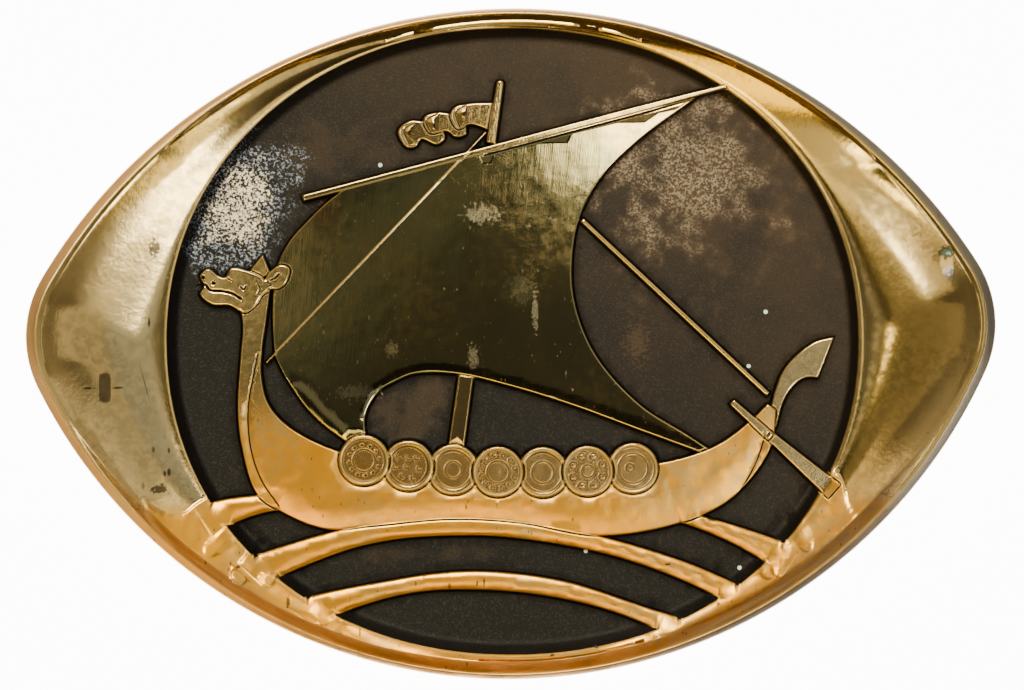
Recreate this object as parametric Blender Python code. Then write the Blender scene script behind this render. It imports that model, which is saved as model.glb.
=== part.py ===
import math

import bpy
import numpy as np
from mathutils import Vector
from mathutils.geometry import delaunay_2d_cdt

# Cast bronze dish with pointed ends and a longship in low relief in its oval well.
# Sizes are in millimetres; X runs along the dish, Y across it, Z up out of its face.
plate_length = 300.0
top_half_width = 100.2
bottom_half_width = 108.5
tip_radius = 36.0

# Heights above the ground that the flat underside lies on.
floor_height = 3.4
relief_height = 2.3
rim_height_mid = 10.6
rim_height_tip = 20.0
edge_thickness = 1.6

# Rim: a bevel falls outward from the crest, a cove falls inward to the face.
bevel_width_mid = 1.6
bevel_width_tip = 3.2
bevel_drop = 1.4
cove_width_mid = 4.2
cove_width_side = 6.0
cove_width_wing = 1.8
cove_drop_side = 4.4
cove_drop_wing = 1.3

# Oval well, given by how far its edge stays from the outside of the dish.
wing_left = 43.46
wing_right = 40.94
well_top_gap = 5.64
well_bottom_gap = 7.36
well_wall_width = 4.2
foot_gap_side = 13.5
foot_gap_end = 41.0
wing_slope = 0.5

# Relief: how far a figure's side spreads from its top edge down to the floor.
side_draft = 0.7
hull_lift = 0.45
spar_lift = 0.5
rope_lift = 0.3
yard_thickness_left = 2.9
yard_thickness_right = 4.0
mast_width_foot = 4.6
mast_width_tip = 2.1
rope_width = 1.6
oar_width_grip = 1.9
oar_width_blade = 5.6
shield_count = 7
shield_diameter = 15.9
shield_rim_width = 1.9
shield_boss_diameter = 6.2
shield_step = 0.3
shield_hollow = 0.28

# Engraved lines.
line_width = 1.0
line_depth = 0.35
mouth_width = 1.2
mouth_depth = 0.6

# How finely the curves are cut.
rim_points = 144
curve_step = 2.6
shield_points = 22

MM = 0.001

half_length = plate_length / 2.0
plate_width = top_half_width + bottom_half_width
tip_line = (bottom_half_width - top_half_width) / 2.0
face_height = floor_height + relief_height
well_a = half_length - (wing_left + wing_right) / 2.0
well_b = (plate_width - well_top_gap - well_bottom_gap) / 2.0
well_x = (wing_left - wing_right) / 2.0
well_y = (well_bottom_gap - well_top_gap) / 2.0


def arc_radius(half_width):
    # Radius of the long side arc that runs into the tip rounding without a corner.
    reach = half_length - tip_radius
    return (reach ** 2 + half_width ** 2 - tip_radius ** 2) / (2.0 * (half_width - tip_radius))


def side_ring(half_width, sign, count):
    # Half of the outline from the right tip to the left one, evenly cut by angle of travel.
    big = arc_radius(half_width)
    reach = half_length - tip_radius
    turn = math.atan2(reach, big - half_width)
    lengths = (tip_radius * (math.pi / 2.0 - turn), big * 2.0 * turn)
    whole = 2.0 * lengths[0] + lengths[1]
    points = []
    for k in range(count):
        s = whole * k / count
        if s < lengths[0]:
            a = s / tip_radius
            points.append((reach + tip_radius * math.cos(a), tip_radius * math.sin(a)))
        elif s < lengths[0] + lengths[1]:
            a = math.pi / 2.0 - turn + (s - lengths[0]) / big
            points.append((big * math.cos(a), half_width - big + big * math.sin(a)))
        else:
            a = math.pi / 2.0 + turn + (s - lengths[0] - lengths[1]) / tip_radius
            points.append((-reach + tip_radius * math.cos(a), tip_radius * math.sin(a)))
    ring = np.array(points)
    ring[:, 1] = ring[:, 1] * sign + tip_line
    if sign < 0:
        ring[:, 0] = -ring[:, 0]
    return ring


def outline_ring():
    half = rim_points // 2
    upper = side_ring(top_half_width, 1.0, half)
    lower = side_ring(bottom_half_width, -1.0, half)
    return np.vstack([upper, lower])


def inset_of(p):
    # Distance from the outline, positive inside it.
    x = np.abs(p[:, 0])
    y = p[:, 1] - tip_line
    result = np.zeros(len(p))
    reach = half_length - tip_radius
    for half_width, chosen in ((top_half_width, y >= 0.0), (bottom_half_width, y < 0.0)):
        big = arc_radius(half_width)
        up = np.abs(y)
        low = big - half_width
        to_tip = low * x - reach * (up + low) > 0.0
        near_tip = tip_radius - np.hypot(x - reach, up)
        near_side = big - np.hypot(x, up + low)
        value = np.where(to_tip, near_tip, near_side)
        result = np.where(chosen, value, result)
    return result


def ease(t):
    t = np.clip(t, 0.0, 1.0)
    return t * t * (3.0 - 2.0 * t)


def oval_distance(p, a, b):
    # Distance outside an oval about the well's centre, negative inside it.
    dx = (p[:, 0] - well_x) / a
    dy = (p[:, 1] - well_y) / b
    ratio = np.maximum(np.hypot(dx, dy), 1e-6)
    slope = np.hypot(dx / a, dy / b) / ratio
    return (ratio - 1.0) / np.maximum(slope, 1e-6)


def rim_sizes(p):
    # Bevel width, cove width, cove drop and crest height where each point lies.
    share = np.abs(p[:, 0]) / half_length
    crest = rim_height_mid + (rim_height_tip - rim_height_mid) * share ** 2
    bevel = bevel_width_mid + (bevel_width_tip - bevel_width_mid) * share ** 2
    upper = ease((p[:, 1] - tip_line) / (0.25 * plate_width) + 0.5)
    to_side = ease(share / 0.55)
    to_wing = ease((share - 0.08) / 0.4)
    fade = ease((share - 0.72) / 0.24)
    mid_drop = rim_height_mid - face_height
    low_width = cove_width_mid + (cove_width_side - cove_width_mid) * to_side
    low_drop = mid_drop + (cove_drop_side - mid_drop) * to_side
    low_width = low_width + (cove_width_wing - low_width) * fade
    low_drop = low_drop + (cove_drop_wing - low_drop) * fade
    high_width = cove_width_mid + (cove_width_wing - cove_width_mid) * to_wing
    high_drop = mid_drop + (cove_drop_wing - mid_drop) * to_wing
    width = low_width + (high_width - low_width) * upper
    drop = low_drop + (high_drop - low_drop) * upper
    return bevel, width, drop, crest


def dish_height(p):
    # Face, wings, cove, crest and bevel, as if there were no well.
    inset = inset_of(p)
    bevel, width, drop, crest = rim_sizes(p)
    beyond = np.maximum(oval_distance(p, well_a, well_b), 0.0)
    left = np.maximum(inset - bevel - width, 0.0)
    share = beyond / np.maximum(beyond + left, 1e-6)
    rise = np.clip(crest - drop - face_height, 0.0, wing_slope * (beyond + left))
    low = face_height + rise * share ** 1.5
    climb = np.clip((bevel + width - inset) / width, 0.0, 1.0)
    cove = low + (crest - low) * climb ** 1.4
    fall = np.clip(1.0 - inset / bevel, 0.0, 1.0)
    return cove - bevel_drop * fall


def basin_height(p):
    inside = -oval_distance(p, well_a, well_b)
    stay = np.clip(1.0 - inside / well_wall_width, 0.0, 1.0)
    return floor_height + (dish_height(p) - floor_height) * stay ** 1.3


def under_height(p):
    # Underside: flat within the foot oval, then rising to the edge of the dish.
    inset = np.maximum(inset_of(p), 0.0)
    bevel, width, drop, crest = rim_sizes(p)
    a = half_length - foot_gap_end
    b = plate_width / 2.0 - foot_gap_side
    beyond = np.maximum(oval_distance(p, a, b), 0.0)
    share = beyond / np.maximum(beyond + inset, 1e-6)
    return (crest - bevel_drop - edge_thickness) * share ** 1.4


def at(u, v):
    # A place in the well, in shares of its half length and half width.
    return (well_x + u * well_a, well_y + v * well_b)


def line(*ends):
    return [at(*e) for e in ends]


def cut(points, step):
    # Cuts a run of straight lines into pieces no longer than the step.
    out = []
    for (ax, ay), (bx, by) in zip(points[:-1], points[1:]):
        n = max(1, int(math.ceil(math.hypot(bx - ax, by - ay) / step)))
        for k in range(n):
            out.append((ax + (bx - ax) * k / n, ay + (by - ay) * k / n))
    out.append(points[-1])
    return out


def curve(*places, step=None, closed=False):
    # A smooth curve through a few places in the well.
    step = step or curve_step
    pts = [np.array(at(*q)) for q in places]
    n = len(pts)
    if closed:
        pts = [pts[-1]] + pts + pts[:2]
        spans = n
    else:
        pts = [2.0 * pts[0] - pts[1]] + pts + [2.0 * pts[-1] - pts[-2]]
        spans = n - 1
    out = []
    for i in range(spans):
        a, b, c, d = pts[i:i + 4]
        gap = np.linalg.norm(c - b)
        near = max(np.linalg.norm(b - a), 1e-6)
        far = max(np.linalg.norm(d - c), 1e-6)
        out_b = (c - b) / 2.0 + (b - a) * gap / near / 2.0
        into_c = (c - b) / 2.0 + (d - c) * gap / far / 2.0
        pieces = max(1, int(math.ceil(gap / step)))
        for k in range(pieces):
            t = k / pieces
            h1 = 2 * t ** 3 - 3 * t ** 2 + 1
            h2 = t ** 3 - 2 * t ** 2 + t
            h3 = -2 * t ** 3 + 3 * t ** 2
            h4 = t ** 3 - t ** 2
            out.append(tuple(h1 * b + h2 * out_b + h3 * c + h4 * into_c))
    if not closed:
        out.append(tuple(pts[-2]))
    return out


def bar(start, end, width_start, width_end, step=12.0):
    # A straight tapering bar between two places in the well.
    a = np.array(at(*start))
    b = np.array(at(*end))
    along = (b - a) / np.linalg.norm(b - a)
    side = np.array((-along[1], along[0])) / 2.0
    loop = [a + side * width_start, b + side * width_end, b - side * width_end, a - side * width_start]
    return cut(loop + [loop[0]], step)[:-1]


def ring_of(centre, radius, count):
    turn = 2.0 * math.pi / count
    return [(centre[0] + radius * math.cos(turn * k), centre[1] + radius * math.sin(turn * k))
            for k in range(count)]


def wave_bands():
    # Three swells: each is a raised band whose ends run into the face.
    first_left = curve((-0.930, -0.512), (-0.877, -0.495), (-0.753, -0.477), (-0.657, -0.469)) + curve(
         (-0.629, -0.520), (-0.693, -0.526), (-0.757, -0.540), (-0.827, -0.569), (-0.879, -0.599))
    first_right = curve((0.354, -0.523), (0.526, -0.566), (0.702, -0.628), (0.814, -0.675)) + curve(
         (0.760, -0.760), (0.709, -0.716), (0.617, -0.655), (0.474, -0.589), (0.382, -0.565))
    second = curve((-0.823, -0.689), (-0.764, -0.669), (-0.506, -0.591), (-0.312, -0.565),
        (-0.138, -0.560), (0.121, -0.597), (0.452, -0.701), (0.627, -0.785), (0.681, -0.816)) + curve(
         (0.631, -0.875), (0.574, -0.828), (0.310, -0.702), (0.057, -0.638), (-0.139, -0.617),
        (-0.426, -0.638), (-0.693, -0.739), (-0.743, -0.767))
    third = curve((-0.677, -0.832), (-0.622, -0.809), (-0.428, -0.766), (-0.150, -0.731),
        (0.119, -0.765), (0.372, -0.858), (0.466, -0.893), (0.521, -0.918)) + curve(
         (0.462, -0.974), (0.391, -0.924), (0.244, -0.858), (0.054, -0.809), (-0.151, -0.789),
        (-0.316, -0.798), (-0.522, -0.861), (-0.571, -0.888))
    return [("wave_one_left", first_left), ("wave_one_right", first_right),
            ("wave_two", second), ("wave_three", third)]


def sail():
    luff = curve((-0.489, 0.490), (-0.545, 0.443), (-0.598, 0.387), (-0.645, 0.330),
        (-0.678, 0.264), (-0.694, 0.175), (-0.698, 0.064), (-0.694, -0.035))
    lower = curve((-0.694, -0.035), (-0.663, -0.106), (-0.593, -0.218), (-0.502, -0.303),
        (-0.442, -0.346))
    foot = curve((-0.435, -0.307), (-0.437, -0.234), (-0.398, -0.155), (-0.346, -0.121),
        (-0.296, -0.100), (-0.172, -0.102), (-0.028, -0.140), (0.165, -0.209), (0.354, -0.290),
        (0.590, -0.390))
    leech = curve((0.590, -0.381), (0.498, -0.312), (0.356, -0.208), (0.228, -0.041),
        (0.173, 0.127), (0.169, 0.261), (0.194, 0.394), (0.260, 0.521), (0.371, 0.638),
        (0.538, 0.767))
    return luff[:-1] + lower + foot + leech


def hull():
    # Neck of the bow, sheer line, stern, then the bottom edge back to the stem.
    neck = curve((-0.705, 0.179), (-0.718, 0.080), (-0.731, -0.012), (-0.735, -0.092),
        (-0.717, -0.184), (-0.674, -0.246), (-0.571, -0.318), (-0.442, -0.365), (-0.251, -0.394),
        (0.124, -0.413), (0.413, -0.397), (0.576, -0.345), (0.670, -0.274), (0.728, -0.215))
    stern = curve((0.751, -0.234), (0.738, -0.339), (0.690, -0.430), (0.599, -0.527),
        (0.454, -0.592), (0.236, -0.623), (-0.006, -0.575), (-0.202, -0.562), (-0.425, -0.580),
        (-0.558, -0.587), (-0.690, -0.526), (-0.750, -0.477), (-0.794, -0.323), (-0.804, -0.205),
        (-0.792, -0.027), (-0.785, 0.065), (-0.793, 0.129))
    return neck + stern


def stern_curl():
    upper = curve((0.922, -0.005), (0.867, -0.020), (0.809, -0.066), (0.773, -0.113),
        (0.749, -0.177), (0.727, -0.281))
    lower = curve((0.750, -0.288), (0.775, -0.203), (0.804, -0.155), (0.839, -0.132),
        (0.874, -0.133))
    return upper + lower


def oar():
    grip = bar((0.624, -0.206), (0.735, -0.320), oar_width_grip, oar_width_grip * 1.4)
    blade = bar((0.727, -0.310), (0.881, -0.458), oar_width_grip * 1.4, oar_width_blade)
    return [("oar_grip", grip), ("oar_blade", blade)]


def spars():
    yard = bar((-0.600, 0.463), (0.625, 0.794), yard_thickness_left, yard_thickness_right)
    mast_foot = bar((-0.175, -0.338), (-0.143, -0.109), mast_width_foot * 1.05, mast_width_foot)
    mast_head = bar((-0.059, 0.632), (-0.030, 0.819), mast_width_foot * 0.62, mast_width_tip)
    return [("yard", yard), ("mast_foot", mast_foot), ("mast_head", mast_head)]


def ropes():
    back = bar((0.200, 0.381), (0.729, -0.183), rope_width, rope_width)
    front_low = bar((-0.720, -0.057), (-0.502, 0.219), rope_width, rope_width * 0.75)
    front_high = bar((-0.502, 0.219), (-0.073, 0.661), rope_width * 0.75, rope_width * 0.5)
    return [("backstay", back), ("forestay_low", front_low), ("forestay_high", front_high)]


def head():
    # Dragon head: snout to the left, brow, ears and jaw.
    skull = curve((-0.907, 0.224), (-0.883, 0.246), (-0.852, 0.223), (-0.835, 0.219),
        (-0.817, 0.246), (-0.765, 0.237), (-0.728, 0.217), (-0.696, 0.185), (-0.729, 0.157),
        (-0.746, 0.128), (-0.779, 0.104), (-0.822, 0.127), (-0.873, 0.132), (-0.908, 0.167),
        (-0.896, 0.192), closed=True, step=1.6)
    front_ear = line((-0.765, 0.234), (-0.724, 0.287), (-0.704, 0.230), (-0.728, 0.214))
    rear_ear = curve((-0.722, 0.192), (-0.701, 0.236), (-0.672, 0.254), (-0.649, 0.244),
        (-0.659, 0.197), (-0.685, 0.178), closed=True, step=1.6)
    return [("skull", skull), ("front_ear", front_ear), ("rear_ear", rear_ear)]


def pennant():
    # Three curls of cloth that stream forward from the mast head.
    near = curve((-0.054, 0.759), (-0.112, 0.758), (-0.165, 0.745), (-0.176, 0.723),
        (-0.154, 0.678), (-0.119, 0.692), (-0.062, 0.673), step=1.6)
    middle = curve((-0.171, 0.726), (-0.214, 0.731), (-0.252, 0.715), (-0.235, 0.667),
        (-0.186, 0.672), (-0.160, 0.653), (-0.131, 0.662), (-0.131, 0.687), step=1.6)
    far = curve((-0.249, 0.702), (-0.292, 0.706), (-0.327, 0.675), (-0.302, 0.623),
        (-0.276, 0.626), (-0.261, 0.648), (-0.215, 0.631), (-0.192, 0.653), (-0.206, 0.682),
        step=1.6)
    return [("curl_near", near), ("curl_middle", middle), ("curl_far", far)]


def shield_row():
    # Centres lie evenly along a shallow arc; the level says which shield lies over which.
    first = np.array(at(-0.442, -0.372))
    middle = np.array(at(-0.055, -0.416))
    last = np.array(at(0.335, -0.412))
    row = []
    for k in range(shield_count):
        t = k / (shield_count - 1.0)
        centre = first * (1 - t) ** 2 + last * t ** 2 + (
            2 * middle - (first + last) / 2.0) * 2 * t * (1 - t)
        over = 2 if k % 3 == 0 or k == shield_count - 2 else (1 if k == 1 else 0)
        if k == shield_count - 1:
            over = 0
        row.append((centre, over))
    return row


def figures():
    # Every raised figure: name, outline, height of its top above the face.
    made = []
    made += [(name, loop, 0.0) for name, loop in wave_bands()]
    made.append(("sail", sail(), 0.0))
    made += [(name, loop, rope_lift) for name, loop in ropes()[1:]]
    made.append((ropes()[0][0], ropes()[0][1], -rope_lift))
    made.append(("hull", hull(), hull_lift))
    made.append(("stern_curl", stern_curl(), hull_lift * 0.6))
    made += [(name, loop, spar_lift) for name, loop in spars()]
    made += [(name, loop, hull_lift + spar_lift) for name, loop in oar()]
    parts = head()
    made.append((parts[0][0], parts[0][1], hull_lift * 1.3))
    made += [(name, loop, hull_lift * 0.8) for name, loop in parts[1:]]
    made += [(name, loop, rope_lift * k) for k, (name, loop) in zip((1.0, 0.4, -0.2), pennant())]
    return [(name, np.array(loop), lift) for name, loop, lift in made]


def strokes():
    # Engraved lines: name, centre line, half width, depth.
    bow = curve((-0.705, 0.169), (-0.712, 0.099), (-0.731, -0.012), (-0.756, -0.091),
        (-0.771, -0.174), (-0.775, -0.253), (-0.765, -0.346), (-0.738, -0.432), (-0.690, -0.513))
    stern = curve((0.718, -0.316), (0.691, -0.400), (0.643, -0.493))
    mouth = curve((-0.916, 0.192), (-0.893, 0.196), (-0.879, 0.181), (-0.827, 0.171),
        (-0.792, 0.152), step=1.6)
    wave = curve((-0.578, -0.593), (-0.497, -0.585), (-0.425, -0.574), (-0.312, -0.557),
        (-0.202, -0.552), (-0.006, -0.567), (0.121, -0.592), (0.236, -0.618))
    return [("keel_bow", np.array(bow), line_width / 2.0, line_depth),
            ("keel_stern", np.array(stern), line_width / 2.0, line_depth),
            ("hull_foot", np.array(wave), line_width / 2.0, line_depth),
            ("mouth", np.array(mouth), mouth_width / 2.0, mouth_depth)]


def from_line(p, run):
    # Distance from an open line.
    a = run[:-1]
    ab = run[1:] - a
    length2 = np.maximum((ab ** 2).sum(1), 1e-12)
    pa = p[:, None, :] - a[None]
    t = np.clip((pa * ab[None]).sum(2) / length2, 0.0, 1.0)
    return np.sqrt(((pa - t[..., None] * ab[None]) ** 2).sum(2)).min(1)


def outside(p, loop):
    # Distance from a closed outline, zero inside it.
    a = loop
    b = np.roll(loop, -1, axis=0)
    ab = b - a
    length2 = np.maximum((ab ** 2).sum(1), 1e-12)
    pa = p[:, None, :] - a[None]
    t = np.clip((pa * ab[None]).sum(2) / length2, 0.0, 1.0)
    gap = np.sqrt(((pa - t[..., None] * ab[None]) ** 2).sum(2)).min(1)
    above = a[None, :, 1] > p[:, None, 1]
    above_next = b[None, :, 1] > p[:, None, 1]
    rise = np.where(np.abs(ab[:, 1]) < 1e-12, 1e-12, ab[:, 1])
    cross = a[None, :, 0] + (p[:, None, 1] - a[None, :, 1]) * ab[None, :, 0] / rise[None]
    hits = (above != above_next) & (p[:, None, 0] < cross)
    inside = hits.sum(1) % 2 == 1
    return np.where(inside, 0.0, gap)


def figure_height(p, loop, lift):
    # Top of the figure, then its drafted side, far below the floor away from it.
    top = face_height + lift
    low = loop.min(0) - 2.0 * side_draft
    high = loop.max(0) + 2.0 * side_draft
    near = ((p >= low) & (p <= high)).all(1)
    height = np.full(len(p), -1.0)
    if near.any():
        gap = outside(p[near], loop)
        steep = relief_height / side_draft
        height[near] = top - gap * steep
    return height


def shield_height(p, under):
    # Discs laid over one another, each with a rim, a hollow field and a boss.
    result = under.copy()
    base = face_height + hull_lift
    radius = shield_diameter / 2.0
    draft = side_draft * 0.5
    order = sorted(shield_row(), key=lambda item: item[1])
    for centre, over in order:
        r = np.hypot(p[:, 0] - centre[0], p[:, 1] - centre[1])
        top = base + shield_step * (over + 1.5)
        inner = radius - shield_rim_width
        boss = shield_boss_diameter / 2.0
        hollow = ease((inner - r) / draft + 0.5) * ease((r - boss) / draft + 0.5)
        body = top - shield_hollow * hollow
        side = top - np.maximum(r - radius, 0.0) * relief_height / draft
        result = np.where(r <= radius, body, np.maximum(result, side))
    return result


def top_height(p, made):
    height = basin_height(p)
    for name, loop, lift in made:
        height = np.maximum(height, figure_height(p, loop, lift))
    height = shield_height(p, height)
    for name, run, half, depth in strokes():
        height = height - depth * np.clip(1.0 - from_line(p, run) / half, 0.0, 1.0)
    return np.maximum(height, floor_height * 0.8)


def spread(loop, gap):
    # The same outline moved outward by the gap.
    ahead = np.roll(loop, -1, axis=0) - loop
    ahead = ahead / np.maximum(np.linalg.norm(ahead, axis=1), 1e-9)[:, None]
    turned = np.stack([ahead[:, 1], -ahead[:, 0]], 1)
    mixed = turned + np.roll(turned, 1, axis=0)
    size = np.maximum(np.linalg.norm(mixed, axis=1), 0.6)
    area = (loop[:, 0] * np.roll(loop[:, 1], -1) - loop[:, 1] * np.roll(loop[:, 0], -1)).sum()
    sign = 1.0 if area > 0 else -1.0
    return loop + sign * gap * mixed / size[:, None] ** 2 * 2.0


class Net:
    # Points and lines that the surface has to follow.
    def __init__(self):
        self.points = []
        self.lines = []

    def add(self, loop, keep=None, closed=True):
        start = len(self.points)
        n = len(loop)
        keep = np.ones(n, bool) if keep is None else keep
        wanted = keep | np.roll(keep, 1) | np.roll(keep, -1)
        place = {}
        for k in range(n):
            if wanted[k]:
                place[k] = start + len(place)
                self.points.append((float(loop[k][0]), float(loop[k][1])))
        for k in range(n if closed else n - 1):
            j = (k + 1) % n
            if k in place and j in place and (keep[k] or keep[j]):
                self.lines.append((place[k], place[j]))

    def surface(self):
        coords = [Vector(q) for q in self.points]
        found = delaunay_2d_cdt(coords, self.lines, [], 0, 0.02)
        return np.array([tuple(v) for v in found[0]]), [tuple(f) for f in found[2]]


def reach_along(start, heading):
    # How far each start can go along its heading before it meets the foot of the cove.
    low = np.zeros(len(start))
    high = np.full(len(start), plate_length)
    for turn in range(30):
        middle = (low + high) / 2.0
        p = start + heading * middle[:, None]
        bevel, width, drop, crest = rim_sizes(p)
        free = inset_of(p) > bevel + width
        low = np.where(free, middle, low)
        high = np.where(free, high, middle)
    return low


def top_net(edge, made):
    net = Net()
    net.add(edge)
    bevel, width, drop, crest = rim_sizes(edge)
    normal = edge - spread(edge, 1.0)
    for share in (0.0, 0.35, 0.65, 1.0):
        net.add(edge + normal * (bevel + width * share)[:, None])
    foot = edge + normal * (bevel + width)[:, None]
    count = rim_points // 2 * 2
    turn = 2.0 * math.pi * np.arange(count) / count
    unit = np.stack([np.cos(turn), np.sin(turn)], 1)
    for gap in (0.0, 0.45, 1.0):
        a = well_a - well_wall_width * gap
        b = well_b - well_wall_width * gap
        net.add(np.array([well_x, well_y]) + unit * np.array([a, b]))
    # Loose points give the wings their hollow shape.
    well = np.array([well_x, well_y]) + unit * np.array([well_a, well_b])
    reach = reach_along(well, unit)
    for k in range(count):
        parts = int(reach[k] / 7.5)
        for j in range(parts - 1):
            share = (j + 1.0 + 0.25 * (k % 2)) / parts
            if k % 2 == 0 or parts > 2:
                net.points.append(tuple(well[k] + unit[k] * reach[k] * share))
    shields = shield_row()
    for index, (name, loop, lift) in enumerate(made):
        others = made[:index] + made[index + 1:]
        levels = [lift, -relief_height]
        levels += [level for level in (0.0, hull_lift) if level < lift - 0.05]
        for level in levels:
            gap = side_draft * (lift - level) / relief_height
            ring = spread(loop, gap) if gap else loop
            rest = basin_height(ring)
            for other in others:
                rest = np.maximum(rest, figure_height(ring, other[1], other[2]))
            rest = shield_height(ring, rest)
            own = face_height + level
            keep = (own > rest - 0.12) & (inset_of(ring) > 4.0)
            if level in levels[2:]:
                keep &= own < rest + 0.12
            net.add(ring, keep=keep)
    radius = shield_diameter / 2.0
    draft = side_draft * 0.5
    inner = radius - shield_rim_width
    boss = shield_boss_diameter / 2.0
    for centre, over in shields:
        covering = [c for c, o in shields if o > over]
        tall = relief_height + hull_lift + shield_step * (over + 1.5)
        step = shield_step * (over + 1.5)
        for r in (radius, radius + draft * tall / relief_height,
                  radius + draft * step / relief_height + 0.03,
                  inner + draft / 2, inner - draft / 2,
                  boss + draft / 2, boss - draft / 2):
            count = shield_points if r > boss + draft else shield_points // 2
            ring = np.array(ring_of(centre, r, count))
            keep = np.ones(len(ring), bool)
            for other in covering:
                keep &= np.hypot(ring[:, 0] - other[0], ring[:, 1] - other[1]) > radius
            if r > radius:
                rest = basin_height(ring)
                for name, loop, lift in made:
                    rest = np.maximum(rest, figure_height(ring, loop, lift))
                on_hull = rest > face_height + 0.2
                keep &= on_hull if r < radius + draft else ~on_hull
            net.add(ring, keep=keep)
    for name, run, half, depth in strokes():
        ahead = np.gradient(run, axis=0)
        ahead = ahead / np.maximum(np.linalg.norm(ahead, axis=1), 1e-9)[:, None]
        side = np.stack([-ahead[:, 1], ahead[:, 0]], 1) * half
        for line_points in (run, run + side, run - side):
            net.add(line_points, closed=False)
    return net


def under_net(edge):
    net = Net()
    net.add(edge)
    a = half_length - foot_gap_end
    b = plate_width / 2.0 - foot_gap_side
    count = rim_points // 2
    turn = 2.0 * math.pi * np.arange(count) / count
    unit = np.stack([np.cos(turn), np.sin(turn)], 1)
    foot = np.array([well_x, well_y]) + unit * np.array([a, b])
    net.add(foot)
    for share in (0.3, 0.6, 0.85):
        for k in range(count):
            away = edge - foot[k]
            cosine = (away * unit[k]).sum(1) / np.maximum(np.linalg.norm(away, axis=1), 1e-6)
            target = edge[int(np.argmax(cosine))]
            net.points.append(tuple(foot[k] + (target - foot[k]) * share))
    return net


def build_plate():
    edge = outline_ring()
    made = figures()
    flat, faces = top_net(edge, made).surface()
    heights = top_height(flat, made)
    low_flat, low_faces = under_net(edge).surface()
    low_heights = under_height(low_flat)
    verts = [(x, y, z) for (x, y), z in zip(flat, heights)]
    shift = len(verts)
    verts += [(x, y, z) for (x, y), z in zip(low_flat, low_heights)]
    tris = []
    for face in faces:
        tris.append(face)
    for face in low_faces:
        tris.append(tuple(shift + k for k in reversed(face)))
    # The side joins the two outline rings point by point.
    top_ring = [int(np.argmin(np.hypot(*(flat - q).T))) for q in edge]
    low_ring = [shift + int(np.argmin(np.hypot(*(low_flat - q).T))) for q in edge]
    n = len(edge)
    for k in range(n):
        j = (k + 1) % n
        tris.append((top_ring[k], low_ring[k], low_ring[j]))
        tris.append((top_ring[k], low_ring[j], top_ring[j]))
    mesh = bpy.data.meshes.new("plate")
    mesh.from_pydata([(x * MM, y * MM, z * MM) for x, y, z in verts], [], tris)
    mesh.validate()
    mesh.update()
    obj = bpy.data.objects.new("plate", mesh)
    bpy.context.scene.collection.objects.link(obj)
    bronze = bpy.data.materials.new("bronze")
    bronze.use_nodes = True
    shader = bronze.node_tree.nodes["Principled BSDF"]
    shader.inputs["Base Color"].default_value = (0.56, 0.36, 0.13, 1.0)
    shader.inputs["Metallic"].default_value = 1.0
    shader.inputs["Roughness"].default_value = 0.32
    mesh.materials.append(bronze)
    return obj


for old in list(bpy.data.objects):
    bpy.data.objects.remove(old, do_unlink=True)

build_plate()
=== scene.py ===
import math

import bmesh
import bpy
import numpy as np
from mathutils import Euler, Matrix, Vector
from mathutils.geometry import delaunay_2d_cdt


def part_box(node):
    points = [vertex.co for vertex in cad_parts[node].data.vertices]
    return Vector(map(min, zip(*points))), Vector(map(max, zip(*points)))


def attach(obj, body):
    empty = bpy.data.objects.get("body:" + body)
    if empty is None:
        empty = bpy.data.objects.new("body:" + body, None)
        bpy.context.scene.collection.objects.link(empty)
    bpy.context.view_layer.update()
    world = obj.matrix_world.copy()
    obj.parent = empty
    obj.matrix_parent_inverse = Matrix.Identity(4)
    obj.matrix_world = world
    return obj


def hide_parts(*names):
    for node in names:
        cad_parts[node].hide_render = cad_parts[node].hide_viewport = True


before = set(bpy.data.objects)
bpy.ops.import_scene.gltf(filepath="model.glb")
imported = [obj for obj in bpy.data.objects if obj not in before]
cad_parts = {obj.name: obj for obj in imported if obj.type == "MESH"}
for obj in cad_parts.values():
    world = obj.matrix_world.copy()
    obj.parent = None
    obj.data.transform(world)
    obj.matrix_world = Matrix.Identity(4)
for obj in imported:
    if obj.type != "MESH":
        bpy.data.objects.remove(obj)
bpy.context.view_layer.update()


# The dish blank. One sand casting of bronze, some 300 mm long, with pointed ends that curl up.
# Its rim was filed to a bevel outside and keeps a cove inside; the wings at both ends were
# ground and polished by hand. Sizes of the dish are millimetres; MM makes them metres.
MM = 0.001
lowest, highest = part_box("plate")
half_length = (highest.x - lowest.x) / 2.0 / MM
half_width = (highest.y - lowest.y) / 2.0 / MM
tip_rounding = 0.56
rim_height_tip = highest.z / MM + tip_rounding
tip_line = 4.15
tip_radius = 36.0
floor_height = 3.4
relief_height = 2.3
face_height = floor_height + relief_height
rim_height_mid = 10.6
edge_thickness = 1.6
bevel_width_mid = 1.6
bevel_width_tip = 3.2
bevel_drop = 1.4
cove_width_mid = 3.9
cove_width_side = 4.3
cove_lean = 0.6
cove_width_wing = 1.8
cove_drop_side = 4.4
cove_drop_wing = 1.3
wing_slope = 0.5
wing_hollow = 1.5
foot_flare = 1.4
well_a = 107.8
well_b = 97.85
well_x = 1.26
well_y = 0.86
well_wall_width = 4.2
well_wall_curve = 1.3
edge_a = 108.3
edge_b = 97.9
edge_x = 0.9
edge_power = 2.09
foot_a = 109.0
foot_b = 90.5
ring_count = 480


def arc_radius(half_side):
    reach = half_length - tip_radius
    return (reach ** 2 + half_side ** 2 - tip_radius ** 2) / (2.0 * (half_side - tip_radius))


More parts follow.
